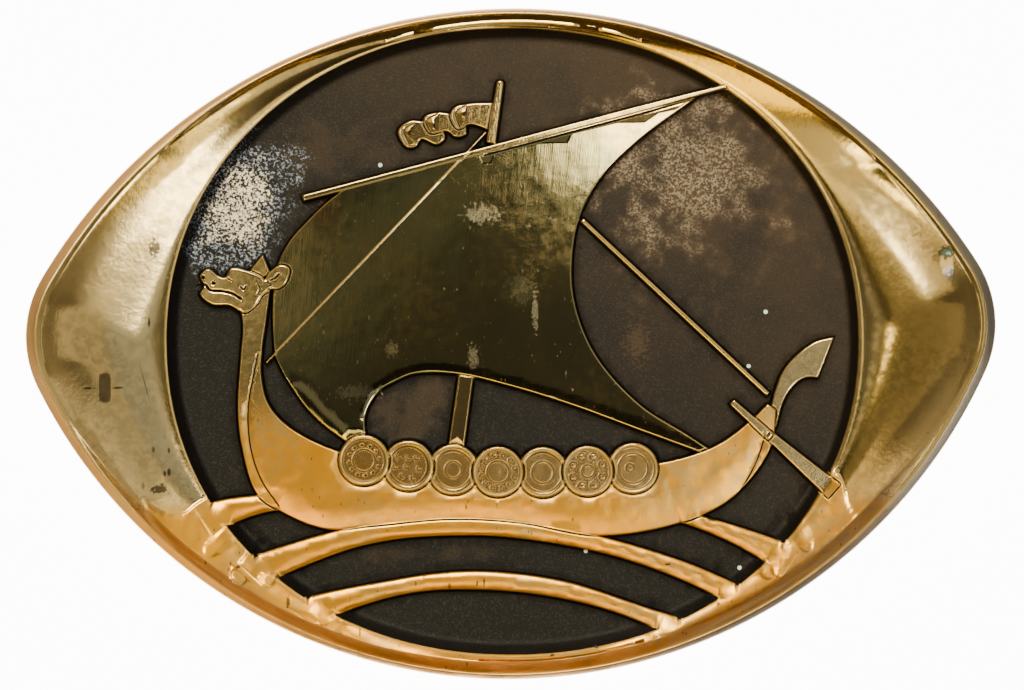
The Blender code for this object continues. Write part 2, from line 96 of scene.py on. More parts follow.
def outline_point(share):
    # Runs once round the outline, anticlockwise from the right tip. Each side is one big arc
    # between two short ones of the tips.
    sides = []
    for half_side in (half_width - tip_line, half_width + tip_line):
        big = arc_radius(half_side)
        turn = math.atan2(half_length - tip_radius, big - half_side)
        short = tip_radius * (math.pi / 2.0 - turn)
        sides.append((half_side, big, turn, short, 2.0 * short + 2.0 * big * turn))
    upper = share < 0.5
    half_side, big, turn, short, whole = sides[0 if upper else 1]
    s = whole * (share if upper else share - 0.5) * 2.0
    reach = half_length - tip_radius
    if s < short:
        a = s / tip_radius
        x = reach + tip_radius * math.cos(a)
        y = tip_radius * math.sin(a)
    elif s < whole - short:
        a = math.pi / 2.0 - turn + (s - short) / big
        x = big * math.cos(a)
        y = half_side - big + big * math.sin(a)
    else:
        a = math.pi / 2.0 + turn + (s - whole + short) / tip_radius
        x = -reach + tip_radius * math.cos(a)
        y = tip_radius * math.sin(a)
    if upper:
        return (x, y + tip_line)
    return (-x, tip_line - y)


def inset_of(p):
    # Distance in from the outline.
    x = np.abs(p[:, 0])
    y = p[:, 1] - tip_line
    reach = half_length - tip_radius
    result = np.zeros(len(p))
    for half_side, chosen in ((half_width - tip_line, y >= 0.0), (half_width + tip_line, y < 0.0)):
        big = arc_radius(half_side)
        up = np.abs(y)
        low = big - half_side
        to_tip = low * x - reach * (up + low) > 0.0
        near_tip = tip_radius - np.hypot(x - reach, up)
        near_side = big - np.hypot(x, up + low)
        result = np.where(chosen, np.where(to_tip, near_tip, near_side), result)
    return result


def ease(t):
    t = np.clip(t, 0.0, 1.0)
    return t * t * (3.0 - 2.0 * t)


def near(value, middle, half):
    # 1 where the value meets the middle, falling to 0 at half away from it.
    return np.clip(1.0 - np.abs(value - middle) / half, 0.0, 1.0)


def oval_distance(p, a, b, power=2.0):
    # Distance out from an oval; a power above 2 fills its corners a little.
    dx = np.abs(p[:, 0] - edge_x) / a
    dy = np.abs(p[:, 1] - well_y) / b
    ratio = np.maximum((dx ** power + dy ** power) ** (1.0 / power), 1e-6)
    slope = np.hypot(dx ** (power - 1.0) / a, dy ** (power - 1.0) / b) * ratio ** (1.0 - power)
    return (ratio - 1.0) / np.maximum(slope, 1e-6)


def beyond_well(p):
    return oval_distance(p, edge_a, edge_b, edge_power)


def rim_sizes(p):
    # Bevel width, cove width, cove drop and crest height, which change along the rim.
    share = np.abs(p[:, 0]) / half_length
    crest = rim_height_mid + (rim_height_tip - rim_height_mid) * share ** 2
    bevel = bevel_width_mid + (bevel_width_tip - bevel_width_mid) * share ** 2
    upper = ease((p[:, 1] - tip_line) / (0.5 * half_width) + 0.5)
    to_side = ease(share / 0.55)
    to_wing = ease((share - 0.08) / 0.4)
    fade = ease((share - 0.72) / 0.24)
    # Toward the tips the cove grows narrow and shallow, sooner at the top than at the bottom.
    mid_drop = rim_height_mid - face_height
    lean = cove_lean * np.clip(p[:, 0] / 60.0, -1.0, 1.0)
    low_width = cove_width_mid + (cove_width_side + lean - cove_width_mid) * to_side
    low_drop = mid_drop + (cove_drop_side - mid_drop) * to_side
    low_width = low_width + (cove_width_wing - low_width) * fade
    low_drop = low_drop + (cove_drop_wing - low_drop) * fade
    high_width = cove_width_mid + (cove_width_wing - cove_width_mid) * to_wing
    high_drop = mid_drop + (cove_drop_wing - mid_drop) * to_wing
    width = low_width + (high_width - low_width) * upper
    drop = low_drop + (high_drop - low_drop) * upper
    # The file did not follow the cove quite evenly.
    waver = np.sin(p[:, 0] * 0.21 + 1.0) * 0.5 + np.sin(p[:, 0] * 0.083 + p[:, 1] * 0.05) * 0.5
    width = width * (1.0 + 0.07 * waver * (1.0 - fade))
    return bevel, width, drop, crest


def dish_height(p):
    inset = inset_of(p)
    bevel, width, drop, crest = rim_sizes(p)
    beyond = np.maximum(beyond_well(p), 0.0)
    left = np.maximum(inset - bevel - width, 0.0)
    share = beyond / np.maximum(beyond + left, 1e-6)
    rise = np.clip(crest - drop - face_height, 0.0, wing_slope * (beyond + left))
    low = face_height + rise * share ** wing_hollow
    climb = np.clip((bevel + width - inset) / width, 0.0, 1.0)
    # A short fillet at its foot, then nearly straight up to the crest.
    cove = low + (crest - low) * climb ** 2 / (climb + 0.25) * 1.25
    fall = np.clip(1.0 - inset / bevel, 0.0, 1.0)
    height = cove - bevel_drop * fall
    # The crest is rounded by handling.
    return height - 0.2 * near(inset, bevel, 0.6) ** 2


def under_height(p):
    inset = np.maximum(inset_of(p), 0.0)
    bevel, width, drop, crest = rim_sizes(p)
    beyond = np.maximum(oval_distance(p, foot_a, foot_b), 0.0)
    share = beyond / np.maximum(beyond + inset, 1e-6)
    return (crest - bevel_drop - edge_thickness) * share ** foot_flare


# The well and the figures in it. The picture was carved in the pattern before casting: its
# ground lies 2.3 mm under the face, every figure has a drafted side and a slightly worn edge,
# and dark patina was left in the ground and in every crease when the tops were polished.
figures = []
grooves = []
lobes = []
curve_step = 0.9


def at(u, v):
    # A place in the well, in shares of its half length and half width.
    return (well_x + u * well_a, well_y + v * well_b)


def places(*shares):
    return [at(*pair) for pair in shares]


def curve(*shares, step=curve_step, closed=False):
    # A smooth curve through a few places in the well.
    pts = [np.array(q) for q in places(*shares)]
    n = len(pts)
    if closed:
        pts = [pts[-1]] + pts + pts[:2]
        spans = n
    else:
        pts = [2.0 * pts[0] - pts[1]] + pts + [2.0 * pts[-1] - pts[-2]]
        spans = n - 1
    out = []
    for i in range(spans):
        a, b, c, d = pts[i:i + 4]
        gap = np.linalg.norm(c - b)
        near = max(np.linalg.norm(b - a), 1e-6)
        far = max(np.linalg.norm(d - c), 1e-6)
        leave = (c - b) / 2.0 + (b - a) * gap / near / 2.0
        arrive = (c - b) / 2.0 + (d - c) * gap / far / 2.0
        pieces = max(1, int(math.ceil(gap / step)))
        for k in range(pieces):
            t = k / pieces
            h1 = 2 * t ** 3 - 3 * t ** 2 + 1
            h2 = t ** 3 - 2 * t ** 2 + t
            h3 = -2 * t ** 3 + 3 * t ** 2
            h4 = t ** 3 - t ** 2
            out.append(tuple(h1 * b + h2 * leave + h3 * c + h4 * arrive))
    if not closed:
        out.append(tuple(pts[-2]))
    return out


def evened(loop, step):
    # The closed outline cut again by equal steps, its corners kept.
    pts = [np.array(q) for q in loop]
    out = []
    for a, b in zip(pts, pts[1:] + pts[:1]):
        length = np.linalg.norm(b - a)
        if length < 1e-4:
            continue
        pieces = max(1, int(round(length / step)))
        for k in range(pieces):
            out.append(tuple(a + (b - a) * k / pieces))
    return out


def bar(start, end, width_start, width_end, round_end=False):
    # A straight tapering bar between two places in the well.
    a = np.array(at(*start))
    b = np.array(at(*end))
    along = (b - a) / np.linalg.norm(b - a)
    side = np.array((-along[1], along[0])) / 2.0
    tip = [b + side * width_end, b - side * width_end]
    if round_end:
        tip = []
        for k in range(9):
            turn = math.pi * k / 8.0
            tip.append(b + side * width_end * math.cos(turn)
                + along * width_end / 2.0 * math.sin(turn))
    loop = [a + side * width_start] + tip + [a - side * width_start]
    return evened(loop, curve_step)


def raise_figure(name, loop, top=0.0, edge=0.25, run=0.75, moat=0.0, stain=0.0, satin=0.0, aged=0.0,
        dome=0.0, dome_run=2.9, facets=()):
    # top: height above the face; moat: depth of the line cut round it; stain: patina left on it;
    # dome: how much lower its edge lies than its middle; facets: flats cut along some edges.
    figures.append({"name": name, "loop": np.array(loop), "top": face_height + top, "edge": edge,
        "run": run, "moat": moat, "stain": stain, "satin": satin, "aged": aged, "dome": dome,
        "dome_run": dome_run, "facets": facets})


def engrave(path, half=0.35, depth=0.25, dark=1.0):
    # half: half its width; dark: how full of patina it is.
    grooves.append((np.array(path), half, depth, dark))


# The sea. Three swells, raised as broad bands that spring from the face on one side and end in
# it on the other, with soft round ends where the carver's gouge ran out.
def swell(name, loop):
    raise_figure(name, loop, top=0.15, edge=0.4, satin=1.0, dome=0.65)


swell("swell_one_left", curve((-0.930, -0.512), (-0.877, -0.495), (-0.753, -0.477),
    (-0.657, -0.469)) + curve((-0.629, -0.520), (-0.693, -0.526), (-0.757, -0.540),
    (-0.827, -0.569), (-0.879, -0.599)))
swell("swell_one_right", curve((0.354, -0.523), (0.526, -0.566), (0.702, -0.628), (0.814, -0.675))
    + curve((0.760, -0.760), (0.709, -0.716), (0.617, -0.655), (0.474, -0.589), (0.382, -0.565)))
swell("swell_two", curve((-0.823, -0.689), (-0.764, -0.669), (-0.506, -0.591), (-0.312, -0.565),
    (-0.138, -0.560), (0.121, -0.597), (0.452, -0.701), (0.627, -0.785), (0.681, -0.816))
    + curve((0.631, -0.875), (0.574, -0.828), (0.310, -0.702), (0.057, -0.638), (-0.139, -0.617),
    (-0.426, -0.638), (-0.693, -0.739), (-0.743, -0.767)))
swell("swell_three", curve((-0.677, -0.832), (-0.622, -0.809), (-0.428, -0.766), (-0.150, -0.731),
    (0.119, -0.765), (0.372, -0.858), (0.466, -0.893), (0.521, -0.918))
    + curve((0.462, -0.974), (0.391, -0.924), (0.244, -0.858), (0.054, -0.809), (-0.151, -0.789),
    (-0.316, -0.798), (-0.522, -0.861), (-0.571, -0.888)))


def lobe(loop, lift, edge):
    # A soft rise on the face, beside the well.
    lobes.append((np.array(loop), lift, edge))


def capsule(start, end, radius):
    # A round ended strip, for the ends of the swells.
    a = np.array(at(*start))
    b = np.array(at(*end))
    along = (b - a) / np.linalg.norm(b - a)
    side = np.array((-along[1], along[0]))
    loop = []
    for centre, sign in ((b, 1.0), (a, -1.0)):
        for k in range(13):
            turn = math.pi * k / 12.0
            loop.append(centre + sign * radius * (side * math.cos(turn) + along * math.sin(turn)))
    return loop


lobe(curve((-0.897, -0.480), (-0.930, -0.502), (-0.965, -0.530), (-1.008, -0.532), (-1.048, -0.513),
    (-1.074, -0.487)) + curve((-1.063, -0.541), (-1.006, -0.615), (-0.929, -0.680),
    (-0.835, -0.759), (-0.744, -0.824), (-0.635, -0.890), (-0.535, -0.943))
    + curve((-0.484, -0.854), (-0.661, -0.685), (-0.803, -0.555), (-0.877, -0.490)), 0.3, 0.6)
lobe(curve((0.893, -0.421), (0.927, -0.441), (0.941, -0.473), (0.946, -0.499), (0.952, -0.534),
    (0.977, -0.589)) + curve((0.953, -0.639), (0.871, -0.714), (0.783, -0.776), (0.696, -0.832),
    (0.579, -0.900), (0.492, -0.949), (0.404, -0.986))
    + curve((0.331, -0.882), (0.523, -0.771), (0.698, -0.647), (0.802, -0.522), (0.864, -0.440)),
    0.3, 0.6)
lobe(capsule((-0.804, -0.729), (-0.741, -0.655), 2.8), 0.5, 0.4)
lobe(capsule((-0.726, -0.746), (-0.687, -0.685), 2.1), 0.42, 0.4)
lobe(capsule((-0.886, -0.646), (-0.827, -0.590), 2.2), 0.3, 0.45)
lobe(capsule((-0.565, -0.859), (-0.504, -0.835), 3.4), 0.3, 0.5)
lobe(capsule((0.718, -0.664), (0.720, -0.746), 2.4), 0.36, 0.45)
lobe(capsule((0.759, -0.658), (0.749, -0.744), 1.9), 0.3, 0.45)
lobe(capsule((0.804, -0.585), (0.831, -0.666), 1.9), 0.25, 0.45)


# The sail. One broad flat field, level with the face, that was polished like a mirror; its foot
# bellies up over the shields and its leech swings in behind.
belly = ((-0.437, -0.234), (-0.398, -0.155), (-0.346, -0.121), (-0.296, -0.100), (-0.172, -0.102),
    (-0.028, -0.140), (0.165, -0.209), (0.354, -0.290), (0.590, -0.390))
sail = curve((-0.489, 0.490), (-0.545, 0.443), (-0.598, 0.387), (-0.645, 0.330), (-0.678, 0.264),
    (-0.694, 0.175), (-0.698, 0.064), (-0.694, -0.035))[:-1]
sail += curve((-0.694, -0.035), (-0.663, -0.106), (-0.593, -0.218), (-0.502, -0.303),
    (-0.442, -0.346))
sail += curve((-0.435, -0.307), *belly)
sail += curve((0.590, -0.381), (0.498, -0.312), (0.356, -0.208), (0.228, -0.041), (0.173, 0.127),
    (0.169, 0.261), (0.194, 0.394), (0.260, 0.521), (0.371, 0.638), (0.538, 0.767))
sail_foot = np.array(curve(*belly))
sail_luff = np.array(curve((-0.650, -0.151), (-0.593, -0.218), (-0.502, -0.303), (-0.430, -0.355)))
raise_figure("sail", evened(sail, curve_step), edge=0.2, aged=1.0,
    facets=((sail_foot, 1.3, 0.22, 0.0), (sail_luff, 2.8, 0.4, 0.0)))


# The pennant. Three curls of cloth that stream forward from the mast head, each a little lower
# than the one before it.
raise_figure("curl_far", curve((-0.249, 0.702), (-0.292, 0.706), (-0.327, 0.675), (-0.302, 0.623),
    (-0.276, 0.626), (-0.261, 0.648), (-0.215, 0.631), (-0.192, 0.653), (-0.206, 0.682), step=0.5),
    top=-0.5, stain=0.3)
raise_figure("curl_middle", curve((-0.171, 0.726), (-0.214, 0.731), (-0.252, 0.715),
    (-0.235, 0.667), (-0.186, 0.672), (-0.160, 0.653), (-0.131, 0.662), (-0.131, 0.687), step=0.5),
    top=-0.2, moat=0.2, stain=0.3)
raise_figure("curl_near", curve((-0.054, 0.759), (-0.112, 0.758), (-0.165, 0.745), (-0.176, 0.723),
    (-0.154, 0.678), (-0.119, 0.692), (-0.062, 0.673), step=0.5), top=0.1, moat=0.2, stain=0.2)
engrave(curve((-0.130, 0.754), (-0.159, 0.732), (-0.147, 0.678), step=0.5), half=0.25, depth=0.2)
engrave(curve((-0.214, 0.727), (-0.246, 0.705), (-0.231, 0.663), step=0.5), half=0.25, depth=0.2)
engrave(curve((-0.281, 0.699), (-0.310, 0.678), (-0.296, 0.633), step=0.5), half=0.25, depth=0.2)


# The rigging. A yard slung across the mast, the mast's foot in the arch of the sail, and two
# stays: one over the sail to the bow, one down to the stern.
mast_width = 4.6
backstay_width = 1.35
forestay_width = 0.6
raise_figure("mast_foot", bar((-0.175, -0.338), (-0.143, -0.109), mast_width * 1.05, mast_width),
    top=-0.25, stain=0.55)
raise_figure("backstay", bar((0.200, 0.381), (0.729, -0.183), backstay_width, backstay_width),
    top=-0.3, aged=0.5)
raise_figure("mast_head", bar((-0.059, 0.632), (-0.030, 0.819), mast_width * 0.62,
    mast_width * 0.45, round_end=True), top=0.3, moat=0.2)
raise_figure("yard", evened(places((-0.608, 0.475), (-0.120, 0.607), (0.141, 0.679), (0.373, 0.742),
    (0.547, 0.787), (0.626, 0.805), (0.625, 0.794), (0.547, 0.772), (0.373, 0.722), (0.141, 0.659),
    (-0.121, 0.588), (-0.603, 0.457)), curve_step), top=0.3, aged=0.5)
raise_figure("forestay", bar((-0.720, -0.057), (-0.073, 0.667), forestay_width, forestay_width),
    top=0.2, edge=0.15, run=0.3, aged=0.4)
engrave(places((-0.080, 0.592), (0.140, 0.652), (0.373, 0.715), (0.559, 0.771)), half=0.5,
    depth=0.3)
engrave(places((-0.079, 0.638), (-0.144, 0.579), (-0.209, 0.517)), half=0.3, depth=0.12, dark=0.4)


# The hull. Bow, sheer and stern in one sweep, a hair above the sail, with a flat facet cut along
# its bottom edge and the keel drawn as a fine engraved line at both ends.
keel = ((0.599, -0.527), (0.454, -0.592), (0.236, -0.623), (-0.006, -0.575), (-0.202, -0.562),
    (-0.425, -0.580), (-0.558, -0.587), (-0.690, -0.526))
hull = curve((-0.705, 0.179), (-0.718, 0.080), (-0.731, -0.012), (-0.735, -0.092), (-0.717, -0.184),
    (-0.674, -0.246), (-0.571, -0.318), (-0.442, -0.365), (-0.251, -0.394), (0.124, -0.413),
    (0.413, -0.397), (0.576, -0.345), (0.670, -0.274), (0.728, -0.215))
hull += curve((0.751, -0.234), (0.738, -0.339), (0.690, -0.430), *keel, (-0.750, -0.477),
    (-0.794, -0.323), (-0.804, -0.205), (-0.792, -0.027), (-0.785, 0.065), (-0.793, 0.129))
raise_figure("stern_curl", curve((0.922, -0.005), (0.867, -0.020), (0.809, -0.066), (0.773, -0.113),
    (0.749, -0.177), (0.727, -0.281)) + curve((0.750, -0.288), (0.775, -0.203), (0.804, -0.155),
    (0.839, -0.132), (0.874, -0.133)), top=0.15)
hull_foot = np.array(curve((0.708, -0.399), *keel, (-0.739, -0.486)))
raise_figure("hull", evened(hull, curve_step), top=0.3, moat=0.3, satin=1.0,
    facets=((hull_foot, 4.0, 0.85, 0.9),))
engrave(curve((-0.744, -0.028), (-0.757, -0.098), (-0.771, -0.174), (-0.775, -0.253),
    (-0.765, -0.346), (-0.738, -0.432), (-0.690, -0.513)))
engrave(curve((0.718, -0.316), (0.691, -0.400), (0.643, -0.493)))


# The steering oar. A plain tapering bar laid over the stern quarter and cast with it: its grip
# stands well proud of the hull, and its blade runs out into the face.
raise_figure("oar_blade", bar((0.727, -0.310), (0.915, -0.495), 2.7, 5.6), top=0.35, moat=0.2)
raise_figure("oar_grip", bar((0.624, -0.206), (0.735, -0.320), 1.9, 2.7), top=0.75, moat=0.2)


# The dragon head. Snout to the left with a long grin, one upright ear, one ear laid back over
# the neck, nostrils and eye punched in.
raise_figure("front_ear", evened(places((-0.765, 0.234), (-0.724, 0.287), (-0.704, 0.230),
    (-0.728, 0.214)), 0.5), top=0.2)
raise_figure("skull", curve((-0.907, 0.224), (-0.883, 0.246), (-0.852, 0.223), (-0.835, 0.219),
    (-0.817, 0.246), (-0.765, 0.237), (-0.728, 0.217), (-0.696, 0.185), (-0.729, 0.157),
    (-0.746, 0.128), (-0.779, 0.104), (-0.822, 0.127), (-0.873, 0.132), (-0.908, 0.167),
    (-0.896, 0.192), closed=True, step=0.5), top=0.6, moat=0.3, edge=0.4)
raise_figure("rear_ear", curve((-0.722, 0.192), (-0.701, 0.236), (-0.672, 0.254), (-0.649, 0.244),
    (-0.659, 0.197), (-0.685, 0.178), closed=True, step=0.5), top=0.5, moat=0.2)
engrave(curve((-0.916, 0.192), (-0.893, 0.196), (-0.879, 0.179), (-0.844, 0.174), (-0.812, 0.165),
    (-0.789, 0.148), step=0.5), half=0.6, depth=0.7)
engrave(curve((-0.843, 0.226), (-0.829, 0.216), (-0.815, 0.206), step=0.5), half=0.35, depth=0.3)
engrave(curve((-0.741, 0.198), (-0.734, 0.179), (-0.741, 0.163), step=0.5), half=0.3, depth=0.25)
engrave(curve((-0.705, 0.206), (-0.690, 0.213), (-0.678, 0.226), step=0.4), half=0.45, depth=0.35)
engrave(curve((-0.790, 0.187), (-0.782, 0.178), (-0.774, 0.189), step=0.3), half=0.4, depth=0.4)
hole_radius = 0.3
for u, v in ((-0.898, 0.219), (-0.868, 0.200)):
    x, y = at(u, v)
    engrave([(x + hole_radius * math.cos(turn), y + hole_radius * math.sin(turn))
        for turn in np.linspace(0.0, 2.0 * math.pi, 9)], half=0.5, depth=0.7)


# The shields. Seven round ones along the rail, cast one over the other: the first, the fourth
# and the sixth lie on top. Each has a thick rim, an engraved ring and bosses of its own.
shield_radius = 7.95
shield_levels = (0.95, 0.8, 0.6, 0.95, 0.6, 0.95, 0.6)
shields = []
first = np.array(at(-0.442, -0.372))
middle = np.array(at(-0.055, -0.416))
last = np.array(at(0.335, -0.412))
for k, level in enumerate(shield_levels):
    t = k / (len(shield_levels) - 1.0)
    bow = (2 * middle - (first + last) / 2.0) * 2 * t * (1 - t)
    shields.append((first * (1 - t) ** 2 + last * t ** 2 + bow, face_height + level, k))
shields.sort(key=lambda item: item[1])


def round_the_boss(x, y, radius, count, start=0.0):
    # Distance to the nearest of a ring of like places.
    best = np.full(len(x), 99.0)
    for k in range(count):
        turn = start + 2.0 * math.pi * k / count
        best = np.minimum(best, np.hypot(x - radius * math.cos(turn), y - radius * math.sin(turn)))
    return best


# Places and sizes of what is cut into them, shield by shield from the bow.
crescents = ((-3.0, 3.0), (0.0, 2.6), (2.7, 2.5), (-4.1, 0.0), (-0.4, 0.0), (3.4, -0.8),
    (-1.9, -3.0), (1.5, -3.7))
rim_lines = (6.62, 6.05, 5.9, 6.9, 6.2, 6.9, 6.75)
rim_steps = (0.04, 0.16, 0.16, 0.0, 0.16, 0.0, 0.03)
cut_half = 0.3
centre_rings = ((3.4,), (), (2.5,), (3.4,), (3.4,), (2.0,), (4.65,))


def shield_body(index, x, y):
    # Height to add to the shield's level, and how full of patina each cut is.
    r = np.hypot(x, y)
    line = rim_lines[index]
    change = -rim_steps[index] * ease((line + 0.3 - r) / 0.5)
    # The rim is a round bead, a little higher than the field inside it.
    across = (r - (line + shield_radius) / 2.0) / ((shield_radius - line) / 2.0)
    change += np.where(r > line, 0.22 * np.sqrt(np.clip(1.0 - across ** 2, 0.0, 1.0)), 0.0)
    cuts = near(r, line, cut_half) * (0.8 + 1.5 * rim_steps[index])
    for radius in centre_rings[index]:
        cuts = np.maximum(cuts, near(r, radius, cut_half))
    if index == 0:
        cuts = np.maximum(cuts, 1.3 * ease(1.2 - round_the_boss(x, y, 4.75, 12, 0.1) / 0.5))
    elif index == 1:
        for ax, ay in crescents:
            gap = np.hypot(x - ax, y - ay)
            half_moon = ease((ax - x + ay - y) / 0.5 + 0.8)
            cuts = np.maximum(cuts, near(gap, 0.75, 0.32) * half_moon)
    elif index == 3:
        gap = round_the_boss(x, y, 5.35, 12, 0.2)
        cuts = np.maximum(cuts, near(gap, 0.62, 0.26))
        change = change + 0.16 * ease(1.2 - gap / 0.5)
    elif index == 5:
        gap = round_the_boss(x, y, 4.9, 8, math.pi / 8.0)
        cuts = np.maximum(cuts, near(gap, 1.1, 0.28))
        change = change + 0.1 * ease(1.6 - gap / 0.7)
    elif index == 6:
        cuts = np.maximum(cuts, near(np.hypot(x + 0.9, y - 0.2), 1.2, 0.28))
    return change - 0.22 * cuts, ease(cuts * 1.6)


def spans_to(p, start, end):
    # Squared distance from each point to the nearest of a run of straight pieces.
    best = np.empty(len(p))
    d = end - start
    size = np.maximum((d * d).sum(1), 1e-12)
    for first_row in range(0, len(p), 400):
        q = p[first_row:first_row + 400, None, :] - start[None, :, :]
        t = np.clip((q * d).sum(2) / size, 0.0, 1.0)
        q -= t[:, :, None] * d
        best[first_row:first_row + 400] = (q * q).sum(2).min(1)
    return best


def outside(p, loop):
    # Signed distance out from a closed outline.
    start = loop
    end = np.roll(loop, -1, axis=0)
    inside = np.empty(len(p), bool)
    slope = (end[:, 0] - start[:, 0]) / np.where(end[:, 1] == start[:, 1], 1e-12,
        end[:, 1] - start[:, 1])
    for first_row in range(0, len(p), 400):
        q = p[first_row:first_row + 400]
        crosses = (start[None, :, 1] > q[:, None, 1]) != (end[None, :, 1] > q[:, None, 1])
        at_x = start[None, :, 0] + (q[:, None, 1] - start[None, :, 1]) * slope[None, :]
        inside[first_row:first_row + 400] = (crosses & (q[:, None, 0] < at_x)).sum(1) % 2 == 1
    reach = np.sqrt(spans_to(p, start, end))
    return np.where(inside, -reach, reach)


def from_line(p, run):
    # Distance from each point to an open line.
    return np.sqrt(spans_to(p, run[:-1], run[1:]))


def near_box(p, points, margin):
    # Which points of p lie in the box round the others, widened by the margin.
    low = points.min(0) - margin
    high = points.max(0) + margin
    return np.nonzero(((p >= low) & (p <= high)).all(1))[0]


def cast_surface(p):
    # Height and finish of the upper side at each point, figure laid over figure.
    within = -beyond_well(p)
    stay = np.clip(1.0 - within / well_wall_width, 0.0, 1.0) ** well_wall_curve
    bare_wall = 0.5 * ease((p[:, 0] + 0.5 * p[:, 1] - 20.0) / 60.0)
    here = {name: np.zeros(len(p)) for name in ("stain", "satin", "aged")}
    here["height"] = floor_height + (dish_height(p) - floor_height) * stay
    here["dark"] = ease((within + 0.3 - bare_wall) / 0.5)
    here["wear"] = 0.8 * near(within, -0.3, 0.35)
    here["cover"] = np.full(len(p), -1.0)
    here["edge_gap"] = np.abs(within)
    everywhere = slice(None)

    def lay(k, where, **values):
        for name, value in values.items():
            here[name][k] = np.where(where, value, here[name][k])

    def at_least(k, **values):
        for name, value in values.items():
            here[name][k] = np.maximum(here[name][k], value)

    def near_edge(k, gap):
        here["edge_gap"][k] = np.minimum(here["edge_gap"][k], np.abs(gap))

    def cut_round(k, gap, depth, start, line, worn, worn_half):
        # The dark line cut into the face round a figure, and the bright edge beyond it.
        on_face = (here["height"][k] > floor_height + 0.75 * relief_height) & (gap > start)
        cut = near(gap, line, 0.35) * on_face
        here["height"][k] -= depth * cut
        at_least(k, dark=ease(cut * 2.2), wear=on_face * near(gap, worn, worn_half))

    for loop, lift, edge in lobes:
        k = near_box(p, loop, edge + 1.0)
        gap = outside(p[k], loop)
        share = 1.0 - ease((gap + edge) / (2.0 * edge))
        here["height"][k] += lift * share * stay[k]
        at_least(k, satin=share)
        near_edge(k, gap)
    for f in figures:
        k = near_box(p, f["loop"], 2.0)
        if not len(k):
            continue
        gap = outside(p[k], f["loop"])
        near_edge(k, gap)
        share = 1.0 - ease((gap + f["edge"]) / (f["edge"] + f["run"]))
        top = f["top"] - f["dome"] * (1.0 - np.clip(-gap / f["dome_run"], 0.0, 1.0)) ** 2
        for run, width, drop, waver in f["facets"]:
            across = width + waver * np.sin(p[k, 0] * 0.3) * np.sin(p[k, 0] * 0.11 + 0.6)
            top -= drop * near(from_line(p[k], run), 0.0, across)
        own = floor_height + (top - floor_height) * share
        if f["moat"]:
            cut_round(k, gap, f["moat"], start=-0.1, line=0.3, worn=0.75, worn_half=0.22)
        lay(k, own > here["height"][k], height=own, dark=1.0 - ease((share - 0.62) / 0.3),
            stain=f["stain"], satin=f["satin"], aged=f["aged"], wear=near(gap, -0.18, 0.24))
        lay(k, gap < -0.05, cover=np.maximum(here["cover"][k], f["top"]))
    for centre, top, index in shields:
        x, y = p[:, 0] - centre[0], p[:, 1] - centre[1]
        r = np.hypot(x, y)
        k = np.nonzero(r < shield_radius + 1.2)[0]
        gap = r[k] - shield_radius
        near_edge(k, gap)
        cut_round(k, gap, 0.3, start=0.0, line=0.25, worn=0.8, worn_half=0.3)
        change, filled = shield_body(index, x[k], y[k])
        body = top + change - 0.25 * ease((gap + 0.5) / 0.6) ** 2
        side = floor_height + (top - 0.3 - floor_height) * (1.0 - ease(gap / 0.5))
        lay(k, (gap > 0.0) & (side > here["height"][k]), height=side, dark=1.0)
        lay(k, gap <= 0.0, height=body, dark=np.clip(filled, 0.0, 1.0), stain=0.62, satin=0.7,
            aged=0.3, wear=0.7 * near(gap, -0.7, 0.6), cover=np.maximum(here["cover"][k], top))
    for path, half, depth, filled in grooves:
        k = near_box(p, path, half + 0.2)
        if len(k):
            cut = near(from_line(p[k], path), 0.0, half)
            here["height"][k] -= depth * ease(cut)
            at_least(k, dark=filled * ease(cut * 6.0))
    # The upper parts of the ship were buffed to a mirror with the sail.
    here["satin"] *= ease((-5.0 - p[:, 1]) / 24.0)
    at_least(everywhere, satin=ease((-46.0 - p[:, 1]) / 8.0))
    inset = inset_of(p)
    bevel, width = rim_sizes(p)[:2]
    here["wear"] *= np.where(within < 0.0, 1.0, 0.3 + 0.7 * ease((-10.0 - p[:, 1]) / 30.0))
    at_least(everywhere, wear=0.9 * near(inset - bevel, 0.25, 0.4))
    low_cove = ease(bevel + width + 0.3 - inset) * ease((-25.0 - p[:, 1]) / 30.0)
    here["rim"] = np.maximum(ease((bevel + 0.1 - inset) / 0.4), 0.65 * low_cove)
    # Painted shade: the ground near the foot of every side, and every dark part standing above the
    # ground, is made black, darker than the patina.
    corner = ease(1.3 - here["edge_gap"] / 1.3)
    here["corner_shade"] = here["dark"] * np.maximum(corner, ease((here["height"] - floor_height) / 0.5))
    return here


# The casting itself. The blank is drawn out ring by ring from its foot, over the rim and down the
# wings; the picture is a finer net that closes it, with its lines along every figure's edge.
outline = np.array([outline_point(k / ring_count) for k in range(ring_count)])
step_along = np.roll(outline, -1, axis=0) - np.roll(outline, 1, axis=0)
step_along /= np.linalg.norm(step_along, axis=1)[:, None]
inward = np.stack([-step_along[:, 1], step_along[:, 0]], 1)
well_middle = np.array([edge_x, well_y])
heading = outline - well_middle
heading /= np.linalg.norm(heading, axis=1)[:, None]


def on_oval(a, b, power):
    # Where the headings from the middle of the well meet an oval.
    far = np.abs(heading[:, 0] / a) ** power + np.abs(heading[:, 1] / b) ** power
    return well_middle + heading / far[:, None] ** (1.0 / power)


bevel, cove, drop, crest = rim_sizes(outline)
angle = np.arctan2(heading[:, 1], heading[:, 0])
